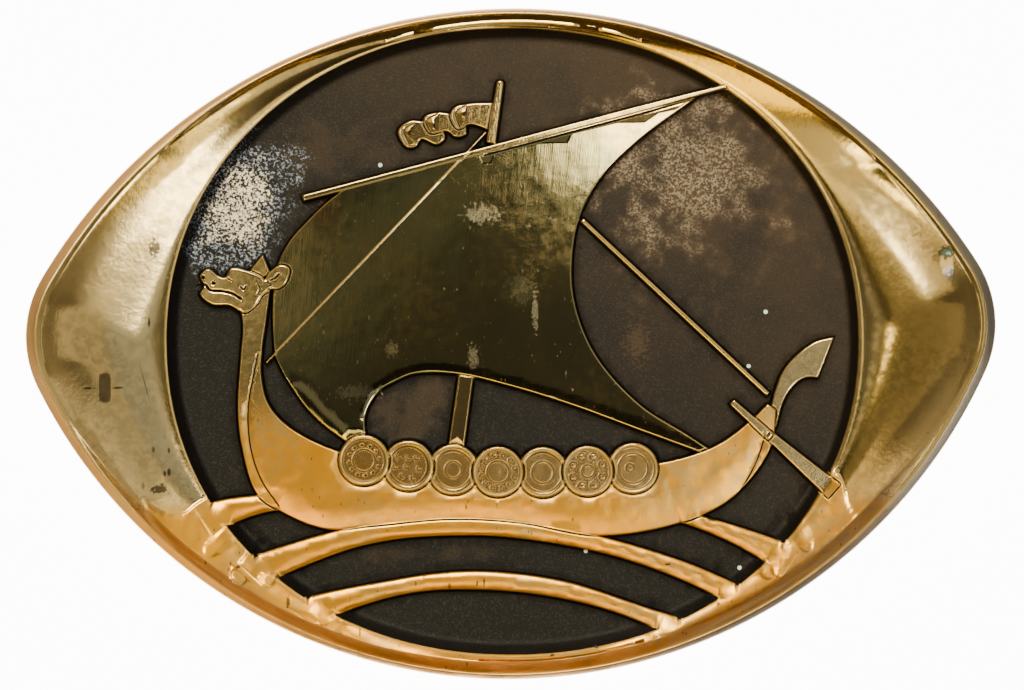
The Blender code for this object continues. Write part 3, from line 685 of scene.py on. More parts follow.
# Low on both sides the picture's net reaches further out, over the ends of the swells.
spread_low = np.maximum(ease(near(angle, -2.45, 0.5)), ease(near(angle, -0.75, 0.5)))
cove = cove * (1.0 - 0.35 * spread_low)
cove_foot = outline + inward * (bevel + cove)[:, None]
foot_oval = on_oval(foot_a, foot_b, 2.0)
well_edge = on_oval(edge_a, edge_b, edge_power)
room = np.linalg.norm(cove_foot - well_edge, axis=1)
picture_margin = 2.4
swell_margin = 12.0
margin = picture_margin + swell_margin * spread_low
margin = np.minimum(margin, np.maximum(room * 0.88, 2.0))
picture_edge = well_edge + heading * margin[:, None]

rings = [(foot_oval, np.zeros(ring_count))]
for share in (0.06, 0.14, 0.24, 0.36, 0.48, 0.6, 0.72, 0.83, 0.92, 1.0):
    place = foot_oval + (outline - foot_oval) * share
    rings.append((place, under_height(place)))
rim_foot = crest - bevel_drop - edge_thickness
for out, up in ((0.0, 0.35), (0.0, 0.75), (0.12, 0.97)):
    rings.append((outline + inward * out, rim_foot + edge_thickness * up))
for share in (0.05, 0.25, 0.5, 0.8, 0.93, 1.0):
    rings.append((outline + inward * (bevel * share)[:, None], None))
for share in (0.05, 0.12, 0.25, 0.4, 0.55, 0.7, 0.85, 0.93, 1.0):
    rings.append((outline + inward * (bevel + cove * share)[:, None], None))
wing_rings = 20
for k in range(1, wing_rings + 1):
    rings.append((cove_foot + (picture_edge - cove_foot) * (k / wing_rings), None))

bpy.ops.object.select_all(action="DESELECT")
bpy.ops.mesh.primitive_circle_add(vertices=ring_count, radius=0.1, fill_type="NOTHING")
casting = bpy.context.object
casting.name = "bronze_dish"
bpy.ops.object.mode_set(mode="EDIT")
bpy.ops.mesh.select_all(action="SELECT")
net = bmesh.from_edit_mesh(casting.data)
order = net.verts.layers.int.new("order")
net.verts.ensure_lookup_table()
turns = sorted(net.verts, key=lambda v: math.atan2(v.co.y, v.co.x) % (2.0 * math.pi))
for k, v in enumerate(turns):
    v[order] = k
for number, (place, level) in enumerate(rings):
    if number:
        bpy.ops.mesh.extrude_region_move()
        net = bmesh.from_edit_mesh(casting.data)
        order = net.verts.layers.int["order"]
    if level is None:
        level = cast_surface(place)["height"]
    for v in net.verts:
        if v.select:
            x, y = place[v[order]]
            v.co = (x * MM, y * MM, level[v[order]] * MM)
bmesh.update_edit_mesh(casting.data)
net = bmesh.from_edit_mesh(casting.data)
bpy.ops.mesh.select_all(action="DESELECT")
for v in net.verts:
    v.select = abs(v.co.z) < 1e-9
net.select_flush(True)
bpy.ops.mesh.edge_face_add()
bpy.ops.object.mode_set(mode="OBJECT")


def moved_out(loop, gap):
    # The outline drawn again, gap further out.
    ahead = np.roll(loop, -1, axis=0) - loop
    ahead = ahead / np.maximum(np.linalg.norm(ahead, axis=1), 1e-9)[:, None]
    turned = np.stack([ahead[:, 1], -ahead[:, 0]], 1)
    mixed = turned + np.roll(turned, 1, axis=0)
    size = np.maximum(np.linalg.norm(mixed, axis=1), 0.9)
    area = (loop[:, 0] * np.roll(loop[:, 1], -1) - loop[:, 1] * np.roll(loop[:, 0], -1)).sum()
    sign = 1.0 if area > 0 else -1.0
    return loop + sign * gap * mixed / size[:, None] ** 2 * 2.0


points = []
lines = []


def lay_loop(loop, keep=None, closed=True):
    # Adds a line of points to the net, all or only those to keep.
    n = len(loop)
    keep = np.ones(n, bool) if keep is None else keep
    start = len(points)
    place = {}
    for k in range(n):
        if keep[k]:
            place[k] = start + len(place)
            points.append((float(loop[k][0]), float(loop[k][1])))
    for k in range(n if closed else n - 1):
        j = (k + 1) % n
        if k in place and j in place:
            lines.append((place[k], place[j]))


def inside_picture(p, spare=0.3):
    # True inside the picture's outer edge.
    d = p - well_middle
    turn = np.arctan2(d[:, 1], d[:, 0])
    edge_turn = np.arctan2(*(picture_edge - well_middle).T[::-1])
    edge_size = np.linalg.norm(picture_edge - well_middle, axis=1)
    sort = np.argsort(edge_turn)
    reach = np.interp(turn, edge_turn[sort], edge_size[sort], period=2.0 * math.pi)
    return np.linalg.norm(d, axis=1) < reach - spare


lay_loop(picture_edge)
for gap in (0.9, 0.35, 0.0, -0.2, -0.5, -1.0, -1.8, -2.8, -3.6, -4.2, -4.8):
    ring = well_edge + heading * gap
    lay_loop(ring, keep=inside_picture(ring) & (cast_surface(ring)["cover"] < 0))
for gap in np.arange(1.8, 14.0, 0.9):
    ring = well_edge + heading * gap
    lay_loop(ring, keep=inside_picture(ring, 0.5) & (cast_surface(ring)["edge_gap"] > 0.8))
for f in figures:
    for gap in (-0.5, -0.25, -0.08, 0.1, 0.3, 0.5, 0.75, 1.0):
        if gap < -0.3 and f["name"] in ("forestay", "backstay"):
            continue
        ring = moved_out(f["loop"], gap)
        seen = cast_surface(ring)["cover"] <= f["top"] + 1e-6
        lay_loop(ring, keep=seen & inside_picture(ring))
for loop, lift, edge in lobes:
    for share in (-1.0, -0.5, 0.0, 0.5, 1.0):
        ring = moved_out(loop, edge * share)
        seen = cast_surface(ring)["cover"] < 0
        lay_loop(ring, keep=seen & inside_picture(ring) & (beyond_well(ring) > 0.9))
for centre, top, index in shields:
    for r in np.arange(0.15, shield_radius + 0.01, 0.3).tolist() + [8.1, 8.3, 8.6]:
        count = max(8, int(round(2.0 * math.pi * r / 0.5)))
        turn = np.arange(count) * 2.0 * math.pi / count
        ring = centre + np.stack([np.cos(turn), np.sin(turn)], 1) * r
        seen = cast_surface(ring)["cover"] <= top + 1e-6
        lay_loop(ring, keep=seen)
for path, half, depth, filled in grooves:
    ahead = np.gradient(path, axis=0)
    ahead /= np.maximum(np.linalg.norm(ahead, axis=1), 1e-9)[:, None]
    side = np.stack([-ahead[:, 1], ahead[:, 0]], 1)
    for share in (-1.0, -0.5, 0.0, 0.5, 1.0):
        lay_loop(path + side * half * share, closed=False)


def scatter(low, high, step, keep_far):
    # A loose grid of points between the figures' edges.
    xs = np.arange(low[0], high[0], step)
    ys = np.arange(low[1], high[1], step)
    grid = np.array([(x + (j % 2) * step / 2.0, y) for j, y in enumerate(ys) for x in xs])
    grid = grid[inside_picture(grid, 0.8)]
    far = cast_surface(grid)["edge_gap"] > keep_far
    points.extend(tuple(q) for q in grid[far])


# Wide apart over the whole picture, then closer on the ends of the swells, the head and the neck.
scatter((-110.0, -100.0), (112.0, 100.0), 3.0, 1.3)
scatter(at(-0.937, -0.808), at(-0.659, -0.590), 0.5, 0.9)
scatter(at(-0.635, -0.925), at(-0.489, -0.800), 0.5, 0.9)
scatter(at(0.667, -0.806), at(0.859, -0.571), 0.5, 0.9)
scatter(at(-0.920, 0.097), at(-0.640, 0.295), 0.45, 0.5)
scatter(at(-0.809, -0.173), at(-0.689, 0.092), 0.9, 0.6)

found = delaunay_2d_cdt([Vector(q) for q in points], lines, [], 0, 0.01)
flat = np.array([tuple(v) for v in found[0]])
surface = cast_surface(flat)
corners = np.array([tuple(face) for face in found[2]])
corners = corners[outside(flat[corners].mean(axis=1), picture_edge) < 0.0]
picture = bpy.data.meshes.new("picture")
picture.from_pydata([(x * MM, y * MM, z * MM) for (x, y), z in zip(flat, surface["height"])], [],
    corners.tolist())
picture_piece = bpy.data.objects.new("picture", picture)
bpy.context.scene.collection.objects.link(picture_piece)
bpy.ops.object.select_all(action="DESELECT")
picture_piece.select_set(True)
casting.select_set(True)
bpy.context.view_layer.objects.active = casting
bpy.ops.object.join()
bpy.ops.object.mode_set(mode="EDIT")
bpy.ops.mesh.select_all(action="SELECT")
bpy.ops.mesh.remove_doubles(threshold=0.000004)
bpy.ops.mesh.quads_convert_to_tris()
bpy.ops.mesh.normals_make_consistent(inside=False)
bpy.ops.object.mode_set(mode="OBJECT")
bpy.ops.object.shade_smooth()

mesh = casting.data
count = len(mesh.vertices)
co = np.empty(count * 3)
mesh.vertices.foreach_get("co", co)
co = co.reshape(-1, 3) / MM
finish = cast_surface(co[:, :2])
on_top = co[:, 2] > finish["height"] - 0.3
finish_names = ("dark", "stain", "satin", "wear", "aged", "rim", "corner_shade")
for name in finish_names:
    layer = mesh.attributes.new(name, "FLOAT", "POINT")
    layer.data.foreach_set("value", np.where(on_top, finish[name], 0.0).astype(np.float32))
mesh.attributes.remove(mesh.attributes["order"])
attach(casting, "root")
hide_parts("plate")


# The metal. Polished yellow bronze under a thin brown tarnish on top, near-black patina with the
# grain of the sand mould in the ground and the creases, and the knocks and spots of long use.
# Over it lies painted light: shade in the corners and on the right of the bevel, glints on the
# ground, a warm light on the satin parts and an olive reflection on the mirror-polished ones.
def new_group(name, takes, gives="Mask"):
    # A shader node group: the group, the sockets it takes and the one it gives.
    tree = bpy.data.node_groups.new(name, "ShaderNodeTree")
    for label, kind, value in takes:
        socket = tree.interface.new_socket(label, in_out="INPUT", socket_type="NodeSocket" + kind)
        socket.default_value = value
    tree.interface.new_socket(gives, in_out="OUTPUT", socket_type="NodeSocketFloat")
    inside, end = tree.nodes.new("NodeGroupInput"), tree.nodes.new("NodeGroupOutput")
    return tree, inside.outputs, end.inputs[gives]


def put(tree, kind, feed=None, **settings):
    # Adds a node; feed gives its sockets values, or the outputs that are linked to them.
    made = tree.nodes.new("ShaderNode" + kind)
    for label, value in settings.items():
        setattr(made, label, value)
    for label, value in (feed or {}).items():
        if isinstance(value, bpy.types.NodeSocket):
            tree.links.new(value, made.inputs[label])
        else:
            made.inputs[label].default_value = value
    return made


def noise(place, scale, detail, **feed):
    feed = {"Vector": place, "Scale": scale, "Detail": detail, **feed}
    return put(place.id_data, "TexNoise", feed).outputs["Fac"]


def vector_maths(operation, first, second=(0.0, 0.0, 0.0)):
    made = put(first.id_data, "VectorMath", {0: first, 1: second}, operation=operation)
    return made.outputs["Value" if operation == "LENGTH" else "Vector"]


def maths(operation, first, second, clamp=False):
    # The node goes into the tree that its inputs come from.
    tree = (first if isinstance(first, bpy.types.NodeSocket) else second).id_data
    return put(tree, "Math", {0: first, 1: second}, operation=operation, use_clamp=clamp).outputs[0]


def plus(first, second, clamp=False):
    return maths("ADD", first, second, clamp)


def minus(first, second):
    return maths("SUBTRACT", first, second)


def times(first, second, clamp=False):
    return maths("MULTIPLY", first, second, clamp)


def over(first, second):
    return maths("DIVIDE", first, second)


def most(first, second):
    return maths("MAXIMUM", first, second)


def ramp(value, low, high, bottom=0.0, top=1.0):
    feed = {"Value": value, "From Min": low, "From Max": high, "To Min": bottom, "To Max": top}
    return put(value.id_data, "MapRange", feed, interpolation_type="SMOOTHSTEP").outputs["Result"]


def blend(mask, first, second):
    return put(mask.id_data, "Mix", {0: mask, 6: first, 7: second}, data_type="RGBA").outputs[2]


def between(mask, first, second):
    return put(mask.id_data, "Mix", {0: mask, 2: first, 3: second}, data_type="FLOAT").outputs[0]


# Clouds: soft patches, used for tarnish, patina and the unevenness of hand finishing.
clouds, cloud_in, cloud_out = new_group("clouds", (("Place", "Vector", (0, 0, 0)),
    ("Size", "Float", 20.0), ("Cover", "Float", 0.5), ("Softness", "Float", 0.2),
    ("Detail", "Float", 3.0)))
cloud_noise = noise(cloud_in["Place"], over(1.0, cloud_in["Size"]), cloud_in["Detail"],
    Roughness=0.55, Distortion=0.4)
cloud_edge = minus(1.0, cloud_in["Cover"])
cloud_half = times(cloud_in["Softness"], 0.5)
clouds.links.new(ramp(cloud_noise, minus(cloud_edge, cloud_half), plus(cloud_edge, cloud_half)),
    cloud_out)

# Pits: small dark holes left by gas and sand in the casting.
pits, pit_in, pit_out = new_group("casting_pits", (("Place", "Vector", (0, 0, 0)),
    ("Spacing", "Float", 4.0), ("Size", "Float", 0.4), ("Share", "Float", 0.3)))
pit_place = vector_maths("MULTIPLY", pit_in["Place"], (1.0, 0.45, 0.0))
pit_cells = put(pits, "TexVoronoi", {"Vector": pit_place, "Scale": over(1.0, pit_in["Spacing"])})
pit_width = over(pit_in["Size"], pit_in["Spacing"])
pit_random = put(pits, "SeparateColor", {"Color": pit_cells.outputs["Color"]})
pit_chosen = maths("LESS_THAN", pit_random.outputs[0], pit_in["Share"])
pit_own = times(pit_width, plus(0.35, pit_random.outputs[1]))
pit_mask = ramp(over(pit_cells.outputs["Distance"], pit_own), 0.6, 1.1, 1.0, 0.0)
pits.links.new(times(pit_mask, pit_chosen), pit_out)

# Mark: one spot, chip or stain at a place on the dish, round or square, its edge made ragged
# by a noise that all marks share.
mark, mark_in, mark_out = new_group("mark", (("Place", "Vector", (0, 0, 0)),
    ("Centre", "Vector", (0, 0, 0)), ("Size", "Vector", (1, 1, 1)), ("Turn", "Float", 0.0),
    ("Square", "Float", 0.0), ("Edge", "Float", 0.0), ("Softness", "Float", 0.3)))
mark_way = vector_maths("SUBTRACT", mark_in["Place"], mark_in["Centre"])
mark_way = put(mark, "VectorRotate", {"Vector": mark_way, "Angle": mark_in["Turn"]},
    rotation_type="Z_AXIS").outputs[0]
mark_way = vector_maths("MULTIPLY", mark_way, (1.0, 1.0, 0.0))
mark_way = vector_maths("DIVIDE", mark_way, mark_in["Size"])
mark_far = vector_maths("LENGTH", mark_way)
mark_side = put(mark, "SeparateXYZ", {"Vector": vector_maths("ABSOLUTE", mark_way)})
mark_far = between(mark_in["Square"], mark_far, most(mark_side.outputs["X"],
    mark_side.outputs["Y"]))
mark_far = plus(mark_far, mark_in["Edge"])
mark.links.new(ramp(mark_far, minus(1.0, mark_in["Softness"]), 1.0, 1.0, 0.0), mark_out)

# Round mark: the same, only round or oval, for the many small ones.
round_mark, round_in, round_out = new_group("round_mark",
    (("Place", "Vector", (0, 0, 0)), ("Stretch", "Vector", (1, 1, 0)),
    ("Shift", "Vector", (0, 0, 0)), ("Edge", "Float", 0.0), ("Ragged", "Float", 1.0),
    ("Inner", "Float", 0.7)))
round_way = put(round_mark, "VectorMath", {0: round_in["Place"], 1: round_in["Stretch"],
    2: round_in["Shift"]}, operation="MULTIPLY_ADD")
round_far = vector_maths("LENGTH", round_way.outputs[0])
round_far = put(round_mark, "Math", {0: round_in["Edge"], 1: round_in["Ragged"], 2: round_far},
    operation="MULTIPLY_ADD").outputs[0]
round_mark.links.new(ramp(round_far, round_in["Inner"], 1.0, 1.0, 0.0), round_out)

# Lines: fine parallel scratches left by cloth, file and emery.
hairlines, hair_in, hair_out = new_group("hairlines",
    (("Place", "Vector", (0, 0, 0)), ("Turn", "Float", 0.0), ("Width", "Float", 0.1),
    ("Length", "Float", 8.0)), "Height")
hair_turned = put(hairlines, "VectorRotate", {"Vector": hair_in["Place"], "Angle": hair_in["Turn"]},
    rotation_type="Z_AXIS")
hair_stretch = put(hairlines, "CombineXYZ", {"X": over(1.0, hair_in["Width"]),
    "Y": over(1.0, hair_in["Length"]), "Z": 0.0})
hair_place = vector_maths("MULTIPLY", hair_turned.outputs[0], hair_stretch.outputs[0])
hairlines.links.new(noise(hair_place, 1.0, 0.0), hair_out)

metal = bpy.data.materials.new("bronze")
metal.use_nodes = True
tree = metal.node_tree
tree.nodes.clear()
shader = put(tree, "BsdfPrincipled")
put(tree, "OutputMaterial", {"Surface": shader.outputs[0]})
place = put(tree, "VectorMath", {0: put(tree, "TexCoord").outputs["Object"], "Scale": 1000.0},
    operation="SCALE").outputs[0]


def use(group, **feed):
    return put(tree, "Group", {"Place": place, **feed}, node_tree=group).outputs[0]


fine_edge = minus(noise(place, 0.9, 3.0), 0.5)
broad_edge = minus(noise(place, 0.12, 3.0, Roughness=0.6), 0.5)
edge_strength = 4.0


def spot(centre, size, ragged=0.25, softness=0.35, turn=0.0, square=0.0):
    # centre in shares of the well, size in millimetres; ragged is how far its edge strays.
    x, y = at(*centre)
    edge = fine_edge if max(size) < 9.0 else broad_edge
    if not turn and not square:
        return use(round_mark, Stretch=(1.0 / size[0], 1.0 / size[1], 0.0),
            Shift=(-x / size[0], -y / size[1], 0.0), Edge=edge, Ragged=edge_strength * ragged,
            Inner=1.0 - softness)
    return use(mark, Centre=(x, y, 0.0), Size=(size[0], size[1], 1.0), Turn=turn, Square=square,
        Edge=times(edge, edge_strength * ragged), Softness=softness)


masks = [put(tree, "Attribute", attribute_name=name).outputs["Fac"] for name in finish_names]
dark_mask, stain_mask, satin_and_warm_light_mask, wear_mask, aged_mask, rim_mask, corner_shade_mask = masks
across, upward = put(tree, "SeparateXYZ", {"Vector": place}).outputs[:2]

polished = (0.84, 0.58, 0.20, 1.0)
polished_in_warm_light = (0.82, 0.35, 0.010, 1.0)
tarnished = (0.42, 0.29, 0.10, 1.0)
olive_reflection = (0.34, 0.29, 0.12, 1.0)
filed = (0.48, 0.25, 0.09, 1.0)
bevel_shade_grey = (0.09, 0.087, 0.08, 1.0)
grime = (0.05, 0.036, 0.022, 1.0)
patina_black = (0.020, 0.020, 0.0185, 1.0)
patina_brown = (0.15, 0.096, 0.054, 1.0)
stain_brown = (0.20, 0.135, 0.06, 1.0)
grain_brown = (0.11, 0.085, 0.055, 1.0)
glint_cool = (0.30, 0.34, 0.42, 1.0)
glint_warm = (1.0, 0.88, 0.68, 1.0)
glint_tan = (0.50, 0.41, 0.28, 1.0)
painted_corner_shade = (0.004, 0.003, 0.0025, 1.0)
worn_gold = (0.92, 0.60, 0.15, 1.0)
pale_speck = (0.80, 0.66, 0.42, 1.0)
rusty = (0.34, 0.16, 0.08, 1.0)
crust_green = (0.75, 0.85, 0.78, 1.0)

# The bright tops.
tarnish = use(clouds, Size=34.0, Cover=0.5, Softness=0.35, Detail=3.0)
fine_tarnish = use(clouds, Size=2.6, Cover=0.5, Softness=0.3, Detail=2.0)
tarnish = times(tarnish, plus(0.3, times(fine_tarnish, 0.9)), True)
# The satin parts are rougher, and their warmer, redder colour is painted warm light.
top_colour = blend(satin_and_warm_light_mask, polished, polished_in_warm_light)
# Painted reflection: the mirror-polished parts take a dark olive tint, except at the sail's upper
# right corner, where they stay bright.
reflection_olive_mask = times(aged_mask, minus(1.0, spot((0.387, 0.703), (26.0, 17.0), 0.3, 0.9)))
top_colour = blend(reflection_olive_mask, top_colour, olive_reflection)
top_colour = blend(times(tarnish, 0.7), top_colour, tarnished)
# Painted shade: the filed bevel is brown on the left and turns dark grey toward the right.
filed_and_shaded_bevel = blend(ramp(across, -30.0, 80.0), filed, bevel_shade_grey)
top_colour = blend(times(rim_mask, 0.9), top_colour, filed_and_shaded_bevel)
fleck = use(pits, Spacing=2.6, Size=0.42, Share=0.16)
speck = use(pits, Spacing=1.1, Size=0.22, Share=0.18)
zone = use(clouds, Size=22.0, Cover=0.45, Softness=0.2, Detail=2.0)
pitted = times(most(fleck, speck), most(times(zone, 0.5), times(satin_and_warm_light_mask, 0.8)))
pitted = times(pitted, minus(1.0, aged_mask))
sand_holes = times(spot((-1.032, -0.385), (12.0, 14.0), 0.3, 0.8),
    use(pits, Spacing=1.7, Size=0.5, Share=0.45))
pitted = most(pitted, sand_holes)
top_colour = blend(times(pitted, 0.9), top_colour, grime)
top_colour = blend(times(stain_mask, 0.85), top_colour, stain_brown)

# The ground, brown toward the upper right and black below.
to_right = ramp(plus(across, times(upward, 1.3)), -60.0, 190.0)
ground_cloud = use(clouds, Size=26.0, Cover=0.52, Softness=0.4, Detail=3.0)
ground_brown = times(to_right, plus(0.12, times(ground_cloud, 0.16)))
brown_patches = (((0.543, 0.534), (44.0, 36.0), 0.26), ((0.353, -0.013), (5.0, 8.0), 0.25),
    ((-0.298, -0.205), (16.0, 12.0), 0.2), ((-0.525, 0.618), (24.0, 12.0), 0.12),
    ((-0.285, -0.677), (26.0, 3.0), 0.1))
for centre, size, strength in brown_patches:
    ground_brown = plus(ground_brown, times(spot(centre, size, 0.8, 0.95), strength), True)
ground_colour = blend(ground_brown, patina_black, patina_brown)
grain = noise(place, 1.9, 3.0, Roughness=0.7)
glint_grain = noise(place, 1.35, 2.0, Roughness=0.7)
# Painted glints: two patches of bright grains on the ground, one at the upper left and one at the
# upper right.
painted_glint = spot((-0.779, 0.444), (19.0, 31.0), 0.3, 0.95, turn=0.45)
painted_glint_right = spot((0.486, 0.551), (30.0, 26.0), 0.8, 0.95)
glint_grains = plus(glint_grain, times(painted_glint, 0.09))
glint_grains = times(ramp(painted_glint, 0.0, 0.3), ramp(glint_grains, 0.545, 0.64))
glint_grains_right = times(painted_glint_right, ramp(glint_grain, 0.46, 0.58))
ground_colour = blend(ramp(grain, 0.5, 0.72, 0.0, 0.35), ground_colour, grain_brown)
# Painted glint colours: warm in the middle of the left patch and bluish at its edge, tan in the
# right one.
glint_colour = blend(ramp(painted_glint, 0.35, 0.9), glint_cool, glint_warm)
ground_colour = blend(times(glint_grains, 0.9), ground_colour, glint_colour)
ground_colour = blend(times(glint_grains_right, 0.42), ground_colour, glint_tan)
# Painted shade: black laid over the patina in the corners and on the dark sides and walls.
ground_colour = blend(times(corner_shade_mask, 0.75), ground_colour, painted_corner_shade)
colour = blend(dark_mask, top_colour, ground_colour)
colour = blend(times(wear_mask, 0.7), colour, worn_gold)

# Spots and stains.
black_marks = (((-1.035, 0.315), (1.9, 2.8), 0.7), ((-1.033, -0.452), (2.6, 1.6), 0.7),
    ((-1.056, 0.080), (0.4, 1.8), 0.4), ((-1.230, -0.127), (2.2, 0.35), 0.4),
    ((-1.149, -0.128), (2.0, 0.35), 0.4), ((1.244, 0.257), (2.5, 2.4), 0.3),
    ((0.092, -1.002), (0.9, 0.5), 0.5), ((0.219, -0.979), (0.9, 0.5), 0.5),
    ((0.431, -0.719), (1.2, 0.4), 0.5), ((0.558, -0.581), (1.5, 0.8), 0.7),
    ((-0.808, -0.702), (0.9, 0.7), 0.6), ((-0.668, -0.819), (0.7, 1.7), 0.5),
    ((-0.462, -0.919), (0.35, 1.6), 0.3), ((-0.149, -0.526), (0.3, 1.2), 0.3),
    ((-0.121, -0.769), (0.3, 1.3), 0.5), ((-0.101, -0.769), (0.3, 1.6), 0.5),
    ((-0.298, -0.769), (0.3, 1.0), 0.5))
bar_mark = spot((-1.184, -0.126), (1.95, 4.9), 0.06, 0.15, square=0.8)
colour = blend(times(bar_mark, 0.8), colour, grime)
scratch = spot((-1.070, -0.120), (0.22, 8.2), 0.05, 0.5, turn=-0.25)
colour = blend(times(scratch, 0.6), colour, grime)
marked = 0.0
for centre, size, ragged in black_marks:
    marked = most(spot(centre, size, ragged), marked)
colour = blend(times(marked, 0.85), colour, grime)
# A lump of verdigris on the right wing, with bare copper beside it.
for centre, size, ragged, tint in (((1.244, 0.257), (1.9, 1.6), 0.3, (0.09, 0.14, 0.09, 1.0)),
        ((1.250, 0.253), (0.8, 0.6), 0.5, (0.35, 0.50, 0.38, 1.0)),
        ((1.249, 0.196), (1.9, 2.5), 0.4, (0.75, 0.64, 0.55, 1.0))):
    colour = blend(spot(centre, size, ragged), colour, tint)
pale_stains = (((-0.089, 0.406), (6.0, 3.0), 0.8, 0.33), ((0.060, 0.091), (1.2, 7.0), 0.5, 0.3),
    ((0.023, 0.162), (5.0, 5.0), 0.8, 0.12), ((-0.122, -0.049), (2.0, 4.0), 0.7, 0.35),
    ((-0.356, -0.022), (2.0, 3.0), 0.7, 0.2), ((-0.459, -0.154), (7.0, 2.5), 0.7, 0.2))
pale = times(aged_mask, times(0.3, most(use(pits, Spacing=2.1, Size=0.3, Share=0.25),
    use(pits, Spacing=0.8, Size=0.16, Share=0.25))))
for centre, size, ragged, strength in pale_stains:
    pale = most(pale, times(spot(centre, size, ragged), strength))
colour = blend(pale, colour, pale_speck)
colour = blend(times(spot((-0.534, 0.405), (5.0, 6.0), 0.5, 0.8), 0.5), colour, rusty)
crusted = 0.0
for centre in ((0.727, 0.079), (-0.381, 0.568), (0.675, -0.093), (0.195, -0.673), (0.639, -0.735)):
    crusted = most(spot(centre, (0.75, 0.75), 0.15), crusted)
colour = blend(crusted, colour, crust_green)
tree.links.new(colour, shader.inputs["Base Color"])
dull = times(spot((1.244, 0.228), (2.4, 5.0), 0.2), 0.8)
tree.links.new(minus(1.0, dull), shader.inputs["Metallic"])

# How smooth it is.
rough = plus(0.1, times(tarnish, 0.04))
rough = minus(rough, times(aged_mask, 0.045))
rough = plus(rough, times(satin_and_warm_light_mask, 0.19))
rough = plus(rough, times(pale, 0.3))
rough = between(most(rim_mask, wear_mask), rough, 0.34)
rough_ground = plus(0.48, times(ground_cloud, 0.06))
rough = between(dark_mask, rough, rough_ground)
tree.links.new(rough, shader.inputs["Roughness"])

# The small relief of the surface: hammering, grain and hairlines.
uneven = times(noise(place, 0.14, 1.5), plus(0.03, times(satin_and_warm_light_mask, 0.3)))
lines_up = times(use(hairlines, Turn=0.12, Width=0.22, Length=14.0), 0.003)
dents = times(noise(place, 0.7, 1.0), minus(0.012, times(aged_mask, 0.01)))
lines_up = plus(lines_up, dents)
grain_height = times(grain, times(dark_mask, 0.14))
height = plus(plus(uneven, lines_up), grain_height)
bump = put(tree, "Bump", {"Height": times(height, 0.001), "Strength": 1.0, "Distance": 1.0})
tree.links.new(bump.outputs["Normal"], shader.inputs["Normal"])
casting.data.materials.clear()
casting.data.materials.append(metal)


# The table and the light. A white sheet in a dim room: large panels on the ceiling, tall windows
# that the left wing mirrors, a lamp lit wall that the right wing mirrors, and a small lamp that
# falls into the corner of the sail.
# Places and sizes of the room are metres.
table_size = 6.0
table_gap = 0.0002
table_grey = (0.3, 0.3, 0.3, 1.0)
# The sheet is so bright that it shows pure white, so it glows by itself.
table_glow = 13.0
glow_white = (0.98, 0.99, 1.0, 1.0)
bpy.ops.object.select_all(action="DESELECT")
bpy.ops.mesh.primitive_plane_add(size=table_size, location=(0.0, 0.0, -table_gap))
table = bpy.context.object
table.name = "table"
white = bpy.data.materials.new("table_white")
white.use_nodes = True
sheet = white.node_tree.nodes["Principled BSDF"]
sheet.inputs["Base Color"].default_value = table_grey
sheet.inputs["Roughness"].default_value = 0.9
sheet.inputs["Emission Color"].default_value = glow_white
sheet.inputs["Emission Strength"].default_value = table_glow
table.data.materials.append(white)


def panel(name, place, size, brightness, tint=(1.0, 1.0, 1.0), aim=(0.0, 0.0, 0.0), roll=0.0):
    # brightness is the panel's own, so a larger panel gives more light.
    light = bpy.data.lights.new(name, "AREA")
    light.shape = "RECTANGLE"
    light.size = size[0]
    light.size_y = size[1]
    light.energy = brightness * math.pi * size[0] * size[1]
    light.color = tint
    lamp = bpy.data.objects.new(name, light)
    bpy.context.scene.collection.objects.link(lamp)
    lamp.location = place
    facing = (Vector(place) - Vector(aim)).to_track_quat("Z", "Y")
    lamp.rotation_euler = (facing @ Euler((0.0, 0.0, roll)).to_quaternion()).to_euler()
    lamp.visible_camera = False


ceiling_height = 1.75


def turned(name, middle, size, brightness, turn, tint=(1.0, 1.0, 1.0)):
    # A panel on the ceiling, turned about its middle.
    x, y = middle
    panel(name, (x, y, ceiling_height), size, brightness, tint, (x, y, 0.0), math.radians(turn))


def ceiling(name, low, high, brightness, tint=(1.0, 1.0, 1.0)):
    # A panel on the ceiling between two corners.
    middle = ((low[0] + high[0]) / 2.0, (low[1] + high[1]) / 2.0)
    turned(name, middle, (high[0] - low[0], high[1] - low[1]), brightness, 0.0, tint)


def sky(view, size, name, brightness, tint=(1.0, 1.0, 1.0), roll=0.0, shift=(0.0, 0.0)):
    # A panel in a direction from a place on the dish: turn from +X, tilt from straight up;
    # shift moves it sideways and up in its own plane.
    start, turn, tilt, reach = view
    turn, tilt = math.radians(turn), math.radians(tilt)
    way = Vector((math.sin(tilt) * math.cos(turn), math.sin(tilt) * math.sin(turn), math.cos(tilt)))
    facing = way.to_track_quat("Z", "Y")
    middle = Vector(start) + way * reach
    place = middle + facing @ Vector((shift[0], shift[1], 0.0))
    panel(name, place, size, brightness, tint, place - way, math.radians(roll))


pale_warm = (1.0, 0.95, 0.8)
warm = (1.0, 0.88, 0.55)
yellow = (1.0, 0.88, 0.45)
middle = (0.0, 0.0, 0.0)
left_wing = (-0.10, 0.04, 0.0)
right_wing = (0.12, 0.03, 0.0)
south_east = (left_wing, -38.0, 45.0, 1.3)
south_west = (right_wing, -140.0, 50.0, 1.3)
